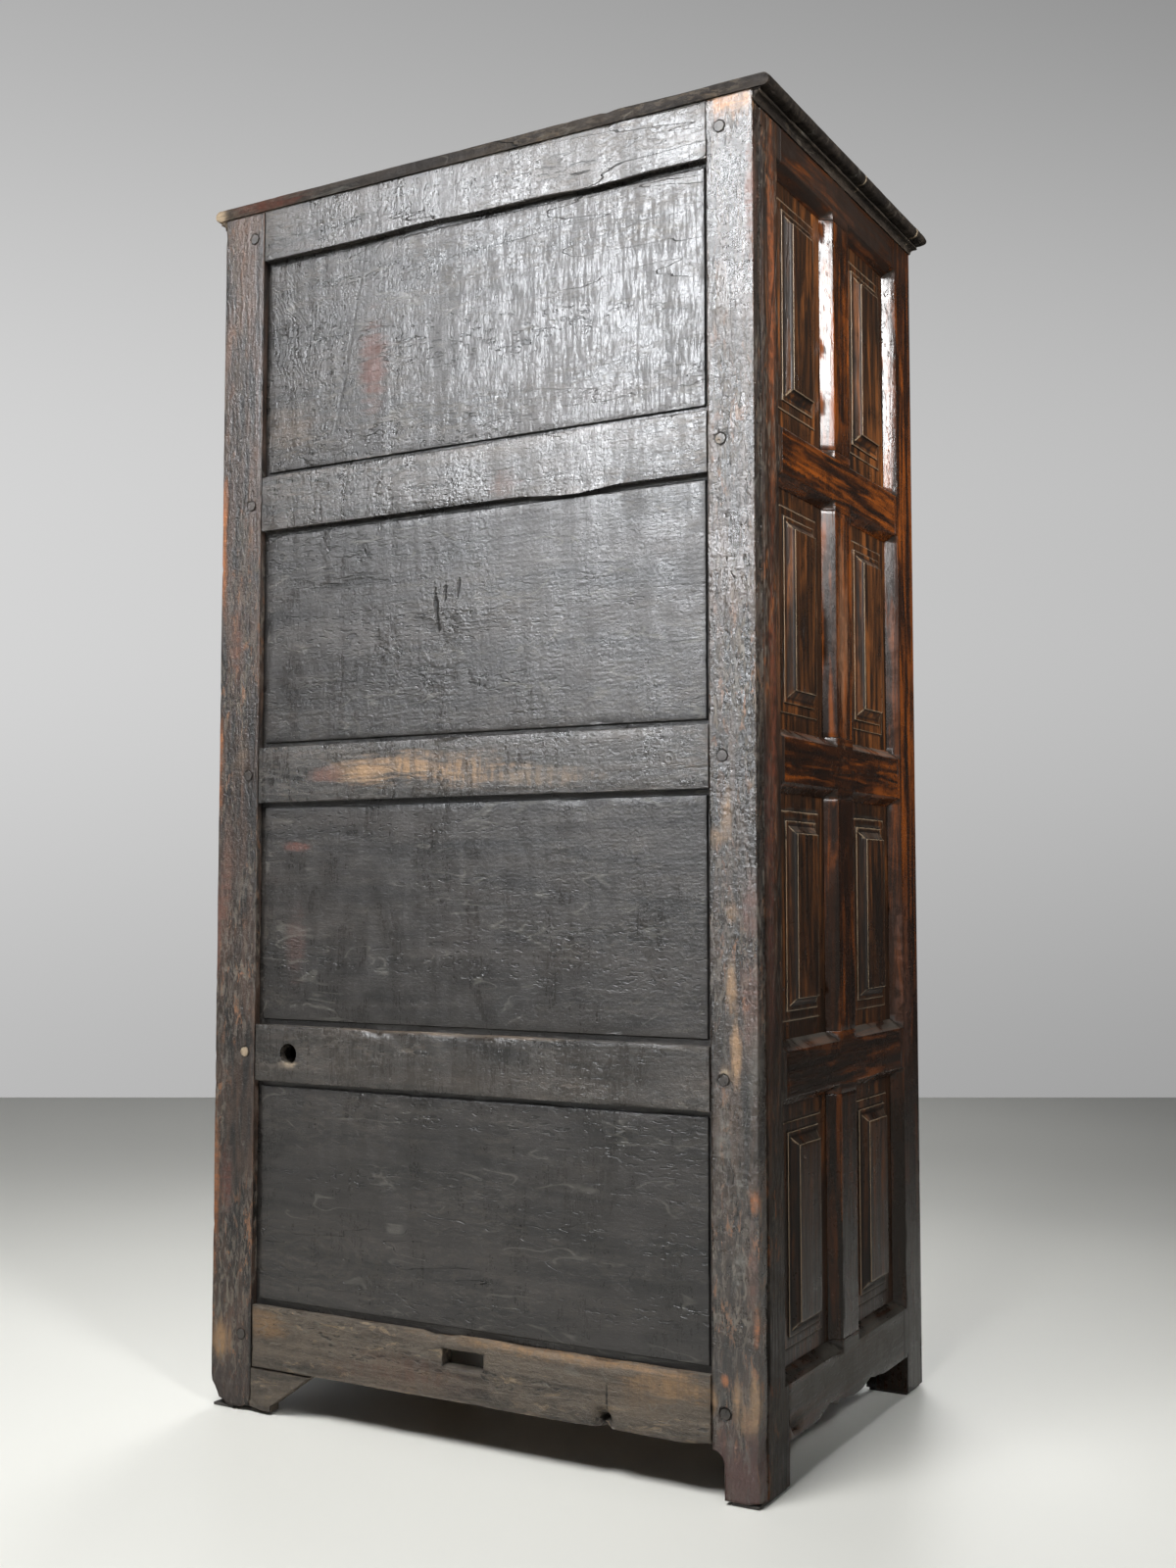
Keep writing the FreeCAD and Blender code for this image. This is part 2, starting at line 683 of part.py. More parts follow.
def make_fall():
    """The fall leaf, which turns on two pins near its rounded lower edge."""
    width = f"({OPENING_WIDTH} - 2 * leaf_gap)"
    tall = f"({BAY_TOP} - {MIDDLE_RAIL_TOP} - leaf_floor_gap - leaf_gap)"
    bay = f"({tall} - leaf_top_rail - leaf_rail - leaf_bottom_rail)"
    middle = f"(leaf_bottom_rail + {bay} / 2)"
    rails = [("0", "leaf_bottom_rail"), (middle, f"({middle} + leaf_rail)"),
             (f"({tall} - leaf_top_rail)", tall)]
    half = f"(({width} - leaf_rail) / 2)"
    columns = [("leaf_stile", half), (f"({half} + leaf_rail)", f"({width} - leaf_stile)")]
    frame = Framing("fall", "leaf", "leaf_thickness", rails, columns, "leaf_splay_depth", True)
    frame.lay_rails("leaf_stile", f"({width} - leaf_stile)")
    muntins = frame.stand_muntins()

    edge = round_edge("fall_edge", "x", width, tall)
    radius = "leaf_thickness / 2"
    bore = "pin_radius + pin_clearance"
    bores = [rod("fall_left_bore", "x", "0", radius, radius, bore, "pin_hold"),
             rod("fall_right_bore", "x", f"{width} - pin_hold", radius, radius, bore, "pin_hold")]
    lock = make_lock(width, tall)
    stiles = group("fall_stiles", [
        frame.upright("fall_left_stile", "0", "leaf_stile", "0", tall, "leaf_thickness", [edge] + bores),
        frame.upright("fall_right_stile", f"({width} - leaf_stile)", width, "0", tall, "leaf_thickness",
                      [edge] + bores)])
    pieces = [("fall_stiles", stiles), ("fall_bottom_rail", frame.finished_rail(1, [edge])),
              ("fall_middle_rail", frame.finished_rail(2)),
              ("fall_top_rail", frame.finished_rail(3, lock["cuts"])),
              ("fall_muntins", group("fall_muntins", muntins)),
              ("fall_panels", group("fall_panels", frame.raised_panels()))]
    pieces += [(label, lock[label]) for label in ("lock_plate", "lock_case", "lock_bolt")]
    pieces += make_ring(f"{width} / 2", f"{middle} + leaf_rail / 2")
    corner = (f"{OPENING_LEFT} + leaf_gap", FRONT, f"{MIDDLE_RAIL_TOP} + leaf_floor_gap")
    for label, piece in pieces:
        node(label, put(piece, *corner))
    return put(group("placed_mortise", [lock["mortise"]]), *corner)


def make_lock(width, tall):
    """A plate, a case let into the back of the leaf and a bolt that shoots up."""
    middle = f"({width} / 2)"
    case_low = f"({tall} - lock_case_drop - lock_case_height)"
    case_face = "(leaf_thickness - lock_case_depth)"
    bolt_face = f"({case_face} + (lock_case_depth - bolt_thickness) / 2)"
    bolt_low = f"({tall} - bolt_drop - bolt_height)"
    case = box("lock_case_block", f"{middle} - lock_case_width / 2", case_face, case_low, "lock_case_width",
               "lock_case_depth", "lock_case_height")
    way = box("bolt_way", f"{middle} - bolt_width / 2 - bolt_play", f"{bolt_face} - bolt_play",
              f"{bolt_low} - bolt_play", "bolt_width + 2 * bolt_play", "bolt_thickness + 2 * bolt_play",
              "bolt_height + bolt_travel + bolt_mortise_room")
    mortise = box("bolt_mortise", f"{middle} - bolt_width / 2 - bolt_mortise_room",
                  f"{bolt_face} - bolt_mortise_room", tall, "bolt_width + 2 * bolt_mortise_room",
                  "bolt_thickness + 2 * bolt_mortise_room", "leaf_gap + bolt_travel + bolt_mortise_room")
    bolt = box("lock_bolt_block", f"{middle} - bolt_width / 2", bolt_face, bolt_low, "bolt_width",
               "bolt_thickness", "bolt_height")
    key_height = f"({case_low} + lock_case_height / 3)"
    key_depth = "lock_plate_thickness + leaf_thickness - lock_case_depth"
    keyhole = fuse("keyhole", [
        prism("keyhole_round", "y", middle, "-lock_plate_thickness", key_height, "keyhole_radius", key_depth),
        box("keyhole_slot", f"{middle} - keyhole_slot / 2", "-lock_plate_thickness",
            f"{key_height} - keyhole_drop", "keyhole_slot", key_depth, "keyhole_drop")])
    plate = outline_body("lock_plate_blank", "XZ_Plane", [
        ("lock_plate_corner", "0"), ("lock_plate_width - lock_plate_corner", "0"),
        ("lock_plate_width", "lock_plate_corner"), ("lock_plate_width", "lock_plate_height"),
        ("0", "lock_plate_height"), ("0", "lock_plate_corner")], "lock_plate_thickness")
    put(plate, f"{middle} - lock_plate_width / 2", "0", f"{tall} - leaf_top_rail / 2 - lock_plate_height / 2")
    return {"lock_plate": cut("lock_plate", plate, [keyhole]), "lock_case": cut("lock_case", case, [way]),
            "lock_bolt": group("lock_bolt", [bolt]), "cuts": [case, way, keyhole], "mortise": mortise}


def make_ring(u, z):
    """An iron ring that hangs in an eye on an eight-sided plate."""
    plate = prism("ring_plate_blank", "y", u, "-ring_plate_thickness", z, "ring_plate_radius",
                  "ring_plate_thickness")
    reach = "(ring_offset + eye_hole_radius + eye_wall)"
    eye = box("eye_block", f"{u} - eye_width / 2", f"-{reach}", f"{z} - eye_hole_radius - eye_wall",
              "eye_width", reach, "2 * (eye_hole_radius + eye_wall)")
    hole = prism("eye_hole", "x", f"{u} - eye_width / 2", "-ring_offset", z, "eye_hole_radius", "eye_width")
    face = "-ring_offset - ring_section / 2"
    centre = f"{z} - ring_radius"
    flats = 12
    outer = prism("ring_outside", "y", u, face, centre, "(ring_radius + ring_section / 2) / cos(15)",
                  "ring_section", flats)
    inner = prism("ring_inside", "y", u, face, centre, "(ring_radius - ring_section / 2) / cos(15)",
                  "ring_section", flats)
    return [("fall_ring_plate", cut("fall_ring_plate", fuse("eye_plate", [plate, eye]), [hole])),
            ("fall_ring", cut("fall_ring", outer, [inner]))]


def facetted(name, y, length, start_radius, end_radius):
    """An eight-sided taper along +Y, where two square ones turned by 45 degrees cross."""
    crossing = doc.addObject("Part::MultiCommon", name)
    blocks = []
    for turn in (0, 45):
        block = doc.addObject("Part::Wedge", f"{name}_{turn}")
        tie(block, Ymin="0", Ymax=length)
        for axis in "XZ":
            tie(block, **{f"{axis}min": f"-{start_radius}", f"{axis}max": start_radius,
                          f"{axis}2min": f"-{end_radius}", f"{axis}2max": end_radius})
        blocks.append(put(block, "0", y, "0", (0, 1, 0), turn))
    crossing.Shapes = blocks
    return crossing


def knob(name):
    """A carved eight-sided knob that stands out along -Y, with its foot at the origin."""
    face = facetted(f"{name}_face", "-knob_length", "knob_length - knob_belly_height", "knob_face_radius",
                    "knob_belly_radius")
    neck = facetted(f"{name}_neck", "-knob_belly_height", "knob_belly_height", "knob_belly_radius",
                    "knob_neck_radius")
    return fuse(f"{name}_whole", [face, neck])


def make_doors():
    """The left door, which turns on pins in its rounded outer edge, and its mirror image."""
    width = f"(({OPENING_WIDTH} - 3 * leaf_gap) / 2)"
    tall = f"({MIDDLE_RAIL_FOOT} - {BOTTOM_RAIL_TOP} - 2 * leaf_gap)"
    bay = f"({tall} - leaf_top_rail - leaf_rail - leaf_bottom_rail)"
    middle = f"(leaf_bottom_rail + {bay} / 2)"
    rails = [("0", "leaf_bottom_rail"), (middle, f"({middle} + leaf_rail)"),
             (f"({tall} - leaf_top_rail)", tall)]
    far = f"({width} - leaf_stile)"
    frame = Framing("door", "leaf", "leaf_thickness", rails, [("leaf_stile", far)], "leaf_splay_depth", True)
    frame.lay_rails("leaf_stile", far)
    radius = "leaf_thickness / 2"
    bore = "pin_radius + pin_clearance"
    hinge_cuts = [round_edge("door_edge", "z", width, tall),
                  rod("door_foot_bore", "z", radius, radius, "0", bore, "pin_hold"),
                  rod("door_head_bore", "z", radius, radius, f"{tall} - pin_hold", bore, "pin_hold")]
    stiles = group("door_stiles", [
        frame.upright("door_hinge_stile", "0", "leaf_stile", "0", tall, "leaf_thickness", hinge_cuts),
        frame.upright("door_meeting_stile", far, width, "0", tall, "leaf_thickness")])
    handle = put(knob("door_knob"), f"{width} - knob_inset", "0", f"{middle} + leaf_rail / 2")
    pieces = [("stiles", stiles), ("rails", group("door_rails", [frame.finished_rail(n) for n in (1, 2, 3)])),
              ("panels", group("door_panels", frame.raised_panels())),
              ("knob", group("door_knob_piece", [handle]))]
    for label, piece in pieces:
        put(piece, f"{OPENING_LEFT} + leaf_gap", FRONT, f"{BOTTOM_RAIL_TOP} + leaf_gap")
        node(f"left_door_{label}", piece)
        node(f"right_door_{label}", mirrored(f"right_door_{label}", piece))


def loper_floor():
    """The height that the lopers run at, which is the top of the dust board."""
    return f"({MIDDLE_RAIL_TOP} + leaf_floor_gap - loper_rise_gap - loper_height - loper_play)"


def make_lopers():
    """The pull-out bars that carry the open leaf, with the guides that they run in."""
    foot = f"({loper_floor()} + loper_play)"
    top = f"({foot} + loper_height)"
    deck = f"({MIDDLE_RAIL_TOP} + leaf_floor_gap + leaf_thickness - board_thickness)"
    start = f"({FRONT} + max(front_rail_thickness; leaf_thickness) + board_play)"
    peg_front = f"({FRONT} + loper_length - stop_peg_setback)"
    bar = box("loper_bar", loper_left(), FRONT, foot, "loper_width", "loper_length", "loper_height")
    peg = box("loper_stop_peg", f"{loper_left()} + (loper_width - stop_peg) / 2", peg_front, top, "stop_peg",
              "stop_peg", "stop_peg_height")
    handle = put(knob("loper_knob"), f"{loper_left()} + loper_width / 2", FRONT,
                 f"{foot} + loper_height / 2")
    left = group("left_loper", [fuse("loper_body", [bar, peg]), handle])
    node("left_loper", left)
    node("right_loper", mirrored("right_loper", left))

    side = f"({loper_left()} - loper_play)"
    wide = "(loper_width + 2 * loper_play)"
    high = f"{deck} - {loper_floor()}"
    kicker = box("kicker_block", side, start, f"{top} + loper_rise_gap", wide, "guide_length",
                 f"{deck} - {top} - loper_rise_gap")
    peg_way = box("peg_way", f"{loper_left()} + (loper_width - stop_peg) / 2 - loper_play",
                  f"{peg_front} - loper_travel - loper_play", top, "stop_peg + 2 * loper_play",
                  "guide_length", f"{deck} - {top}")
    rows = [box("outer_guide", f"{side} - guide_thickness", start, loper_floor(), "guide_thickness",
                "guide_length", high),
            box("inner_guide", f"{side} + {wide}", start, loper_floor(), "guide_thickness", "guide_length",
                high),
            cut("kicker", kicker, [peg_way])]
    twins = [mirrored(f"other_guide_{number}", row) for number, row in enumerate(rows, start=1)]
    node("loper_guides", group("loper_guides", rows + twins))
    return deck


def inner_board(name, z, front):
    """A board between the sides, notched round the front posts."""
    play = "board_play"
    whole = box(f"{name}_whole", f"{INNER_LEFT} + {play}", front, z,
                f"carcass_width - 2 * side_thickness - 2 * {play}",
                f"{INNER_BACK} - {play} - {front}", "board_thickness")
    notch = box(f"{name}_notch", INNER_LEFT, front, z, f"post_width - side_thickness + {play}",
                f"{FRONT} + post_depth + {play} - {front}", "board_thickness")
    return cut(name, whole, [notch, mirrored(f"{name}_other_notch", notch)])


def make_inside(deck):
    """The boards inside, from the bottom board up to the pigeonholes."""
    behind_leaf = f"({FRONT} + leaf_thickness + deck_gap)"
    behind_rail = f"({FRONT} + front_rail_thickness + board_play)"
    floor = f"({BOTTOM_RAIL_TOP} - board_thickness)"
    shelf = "(lower_level - cable_hole_radius - shelf_below_hole - board_thickness)"
    dust = f"({loper_floor()} - board_thickness)"
    rack = "(upper_level - pigeonhole_thickness / 2)"
    node("bottom_board", inner_board("bottom_board", floor, behind_rail))
    node("lower_shelf", inner_board("lower_shelf", shelf, behind_leaf))
    node("dust_board", inner_board("dust_board", dust, behind_rail))

    play = "board_play"
    front = f"({FRONT} + pigeonhole_setback)"
    deep = f"({INNER_BACK} - {play} - {front})"
    rack_board = box("rack_board", f"{INNER_LEFT} + {play}", front, rack,
                     f"carcass_width - 2 * side_thickness - 2 * {play}", deep, "pigeonhole_thickness")
    foot = f"({deck} + board_thickness - divider_housing)"
    head = f"({rack} + pigeonhole_thickness - divider_housing)"
    dividers = []
    spans = (("lower", foot, f"({rack} + divider_housing)"), ("upper", head, "carcass_height"))
    for name, low, high in spans:
        divider = box(f"{name}_divider", "-divider_offset - divider_thickness / 2", front, low,
                      "divider_thickness", deep, f"{high} - {low}")
        dividers += [divider, mirrored(f"other_{name}_divider", divider)]
    node("pigeonhole_boards", group("pigeonholes", [cut("rack_shelf", rack_board, dividers)] + dividers))
    node("writing_deck", cut("housed_deck", inner_board("plain_deck", deck, behind_leaf), dividers[:2]))

    battens = []
    for name, board in (("floor", floor), ("shelf", shelf), ("dust", dust), ("rack", rack)):
        batten = box(f"{name}_batten", INNER_LEFT, f"{FRONT} + post_depth + {play}",
                     f"{board} - batten_height", "batten_width",
                     f"{INNER_BACK} - {FRONT} - post_depth - 2 * {play}", "batten_height")
        battens += [batten, mirrored(f"{name}_other_batten", batten)]
    node("shelf_battens", group("battens", battens))


def make_pads():
    """A thin pad under each foot."""
    margin = "pad_margin"
    front = box("front_pad", f"{LEFT} + {margin}", f"{FRONT} + {margin}", "0", f"post_width - 2 * {margin}",
                f"post_depth - post_foot_inset - 2 * {margin}", "pad_thickness")
    back = box("back_pad", f"{LEFT} + {margin}", f"{INNER_BACK} - side_stile + {margin}", "0",
               f"side_thickness - 2 * {margin}", f"side_stile + back_thickness - 2 * {margin}",
               "pad_thickness")
    node("foot_pads", group("pads", [front, back, mirrored("other_front_pad", front),
                                     mirrored("other_back_pad", back)]))


def check_and_export():
    """Stop if any object failed, then write one file for each sub-part."""
    doc.recompute()
    for thing in doc.Objects:
        if "Invalid" in thing.State or "Error" in thing.State:
            raise RuntimeError(f"{thing.Name} failed to build: {thing.State}")
    for piece in nodes:
        if piece.Shape.isNull() or not piece.Shape.isValid() or not piece.Shape.Solids:
            raise RuntimeError(f"{piece.Label} has no valid solid")
    os.makedirs("parts", exist_ok=True)
    for piece in nodes:
        piece.Shape.exportStep(f"parts/{piece.Label}.step")
    print(f"{len(nodes)} sub-parts, {sum(len(piece.Shape.Solids) for piece in nodes)} solids")


make_sheet()
back_pegs = make_back()
corner_post = make_sides()
make_top()
bolt_mortise = make_fall()
front_pegs = make_front(corner_post, bolt_mortise)
make_doors()
make_inside(make_lopers())
node("drawbore_pegs", group("drawbore_pegs", [back_pegs] + front_pegs))
make_pads()
check_and_export()
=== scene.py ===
"""Looks of a fall-front cabinet: old dark panelled wood, worn and waxed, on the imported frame."""

import json
import logging
import math
from dataclasses import dataclass, field, replace
from enum import Enum
from typing import Iterable, Optional, Sequence, Union

import bmesh
import bpy
from mathutils import Euler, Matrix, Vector, noise

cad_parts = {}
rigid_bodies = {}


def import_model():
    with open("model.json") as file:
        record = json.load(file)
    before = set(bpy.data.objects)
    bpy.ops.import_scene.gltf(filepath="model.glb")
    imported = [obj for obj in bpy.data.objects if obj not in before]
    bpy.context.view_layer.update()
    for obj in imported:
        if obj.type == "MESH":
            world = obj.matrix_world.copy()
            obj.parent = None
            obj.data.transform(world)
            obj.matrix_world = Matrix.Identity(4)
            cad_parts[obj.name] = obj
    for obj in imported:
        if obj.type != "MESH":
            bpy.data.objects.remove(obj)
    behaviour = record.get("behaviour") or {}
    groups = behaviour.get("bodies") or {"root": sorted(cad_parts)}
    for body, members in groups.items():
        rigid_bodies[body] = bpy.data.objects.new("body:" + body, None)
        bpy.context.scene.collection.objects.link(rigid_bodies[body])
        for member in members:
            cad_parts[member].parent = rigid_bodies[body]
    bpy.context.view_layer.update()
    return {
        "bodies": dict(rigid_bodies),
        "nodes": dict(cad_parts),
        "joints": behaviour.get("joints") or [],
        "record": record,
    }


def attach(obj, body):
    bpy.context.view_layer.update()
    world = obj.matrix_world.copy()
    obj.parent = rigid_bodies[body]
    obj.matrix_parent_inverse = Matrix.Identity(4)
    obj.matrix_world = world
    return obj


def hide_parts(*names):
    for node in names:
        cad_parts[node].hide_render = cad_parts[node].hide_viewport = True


LOG = logging.getLogger("cabinet")

Triple = tuple[float, float, float]
Colour = tuple[float, float, float, float]
Socket = bpy.types.NodeSocket
Node = bpy.types.Node
Tree = bpy.types.NodeTree
Material = bpy.types.Material
Piece = bpy.types.Object
Value = Union[float, Sequence[float], Socket]
Fed = Optional[dict[Union[int, str], Value]]

MM = 0.001
NOWHERE: Triple = (0.0, 0.0, 0.0)
EDGE_LAYER = "edge"
HOLLOW_LAYER = "hollow"
LEDGE_LAYER = "ledge"
PLACED = {"Vector": "Vector"}


class Run(Enum):
    """The way that the grain of a piece runs."""

    ACROSS = 0
    DEEP = 1
    UP = 2


def millimetres(x: float, y: float, z: float) -> Vector:
    """A point or a size given in millimetres, in metres."""
    return Vector((x, y, z)) * MM


def facing(ahead: Vector) -> Euler:
    """The turn that makes a camera or a lamp look along a direction."""
    return ahead.to_track_quat("-Z", "Y").to_euler()


def placed(name: str, data: bpy.types.ID) -> Piece:
    """Puts a new object into the scene.

    Args:
        name: the object's name.
        data: its mesh, lamp or camera.

    Returns:
        The object, at the origin.
    """
    made = bpy.data.objects.new(name, data)
    bpy.context.scene.collection.objects.link(made)
    return made


class NodeSheet:
    """A shader node tree with short ways to add and join its nodes."""

    def __init__(self, tree: Tree) -> None:
        """Keeps the node tree of a material or of a node group."""
        self.tree = tree

    @classmethod
    def of_material(cls, name: str) -> tuple["NodeSheet", Material]:
        """Starts a new material.

        Args:
            name: the material's name.

        Returns:
            The sheet of its nodes, still empty, and the material.
        """
        made = bpy.data.materials.new(name)
        made.use_nodes = True
        made.node_tree.nodes.clear()
        return cls(made.node_tree), made

    def node(self, kind: str, fed: Fed = None, **settings: object) -> Node:
        """Adds one node.

        Args:
            kind: Blender's name for the kind of node.
            fed: what goes into its inputs, by their names or numbers.
            settings: the node's own properties.

        Returns:
            The new node.
        """
        made = self.tree.nodes.new(kind)
        for name, value in settings.items():
            setattr(made, name, value)
        for name, value in (fed or {}).items():
            self.feed(made.inputs[name], value)
        return made

    def feed(self, socket: Socket, value: Value) -> None:
        """Joins a socket to another one, or sets its own value.

        Args:
            socket: the input socket.
            value: the socket or the plain value that goes into it.
        """
        if isinstance(value, Socket):
            self.tree.links.new(value, socket)
        else:
            socket.default_value = value

    def surface(self, shader: Socket) -> None:
        """Gives the material its surface."""
        self.node("ShaderNodeOutputMaterial", {"Surface": shader})

    def principled(self, fed: Fed) -> None:
        """Gives the material a Principled surface."""
        self.surface(self.node("ShaderNodeBsdfPrincipled", fed).outputs["BSDF"])

    def group(self, tree: Tree, **fed: Value) -> bpy.types.NodeOutputs:
        """Places a node group with its inputs by name, and gives its outputs."""
        return self.node("ShaderNodeGroup", fed, node_tree=tree).outputs

    def place(self) -> Socket:
        """The coordinates of a point in its object's own space."""
        return self.node("ShaderNodeTexCoord").outputs["Object"]

    def layer(self, name: str) -> Socket:
        """A value that the mesh carries at its points."""
        return self.node("ShaderNodeAttribute", attribute_name=name).outputs["Fac"]

    def height_of(self, place: Value) -> Socket:
        """The height of a place."""
        return self.node("ShaderNodeSeparateXYZ", {0: place}).outputs["Z"]

    def calc(self, operation: str, first: Value, second: Value = 0.0, clamp: bool = False) -> Socket:
        """One sum of two numbers, kept between 0 and 1 where it is clamped."""
        fed = {0: first, 1: second}
        return self.node("ShaderNodeMath", fed, operation=operation, use_clamp=clamp).outputs[0]

    def plus(self, first: Value, second: Value) -> Socket:
        """The first number and the second together."""
        return self.calc("ADD", first, second)

    def less(self, first: Value, second: Value) -> Socket:
        """The first number less the second."""
        return self.calc("SUBTRACT", first, second)

    def times(self, first: Value, second: Value) -> Socket:
        """The first number times the second."""
        return self.calc("MULTIPLY", first, second)

    def most(self, first: Value, second: Value) -> Socket:
        """The larger of two numbers."""
        return self.calc("MAXIMUM", first, second)

    def shift(self, operation: str, first: Value, second: Value = NOWHERE) -> Socket:
        """One sum of two vectors, which is a number for a length or a dot product."""
        made = self.node("ShaderNodeVectorMath", {0: first, 1: second}, operation=operation)
        return made.outputs["Value" if operation in ("LENGTH", "DOT_PRODUCT") else "Vector"]

    def tint(self, factor: Value, first: Value, second: Value) -> Socket:
        """Two colours, mixed by the share of the second."""
        fed = {0: factor, 6: first, 7: second}
        return self.node("ShaderNodeMix", fed, data_type="RGBA", clamp_factor=True).outputs[2]

    def blend(self, factor: Value, first: Socket, second: Socket) -> Socket:
        """Two shaders, mixed by the share of the second."""
        return self.node("ShaderNodeMixShader", {0: factor, 1: first, 2: second}).outputs["Shader"]

    def clouds(self, vector: Value, scale: Value, detail: float = 3.0, rough: float = 0.55,
               twist: float = 0.0) -> Socket:
        """Adds soft noise.

        Args:
            vector: the coordinates that the noise is read at.
            scale: how many blotches fit in a metre.
            detail: how many finer layers it has.
            rough: how strong the finer layers are.
            twist: how far the noise is bent by itself.

        Returns:
            The socket with the noise, from 0 to 1 around 0.5.
        """
        fed = {"Vector": vector, "Scale": scale, "Detail": detail, "Roughness": rough,
               "Distortion": twist}
        return self.node("ShaderNodeTexNoise", fed).outputs[0]

    def step(self, value: Value, low: Value, high: Value) -> Socket:
        """A soft step from 0 where the value is low to 1 where it is high."""
        fed = {"Value": value, "From Min": low, "From Max": high}
        return self.node("ShaderNodeMapRange", fed, interpolation_type="SMOOTHSTEP").outputs["Result"]

    def bump(self, height: Value, distance: float) -> Socket:
        """A normal, where a height of 1 stands out by the distance in metres."""
        fed = {"Strength": 1.0, "Distance": distance, "Height": height}
        return self.node("ShaderNodeBump", fed).outputs["Normal"]


class GroupSheet(NodeSheet):
    """The nodes of a new shader node group, with the sockets that it is given and puts out."""

    def __init__(self, name: str, inputs: dict[str, str], outputs: Iterable[str]) -> None:
        """Makes an empty group with its sockets.

        Args:
            name: the group's name.
            inputs: the input sockets, each name with its kind.
            outputs: the names of the output values.
        """
        super().__init__(bpy.data.node_groups.new(name, "ShaderNodeTree"))
        for label, kind in inputs.items():
            self.tree.interface.new_socket(label, in_out="INPUT", socket_type=f"NodeSocket{kind}")
        for label in outputs:
            self.tree.interface.new_socket(label, in_out="OUTPUT", socket_type="NodeSocketFloat")
        self.given = self.node("NodeGroupInput").outputs
        self.end = self.node("NodeGroupOutput").inputs

    def give(self, name: str, value: Value) -> None:
        """Puts out one value of the group."""
        self.feed(self.end[name], value)


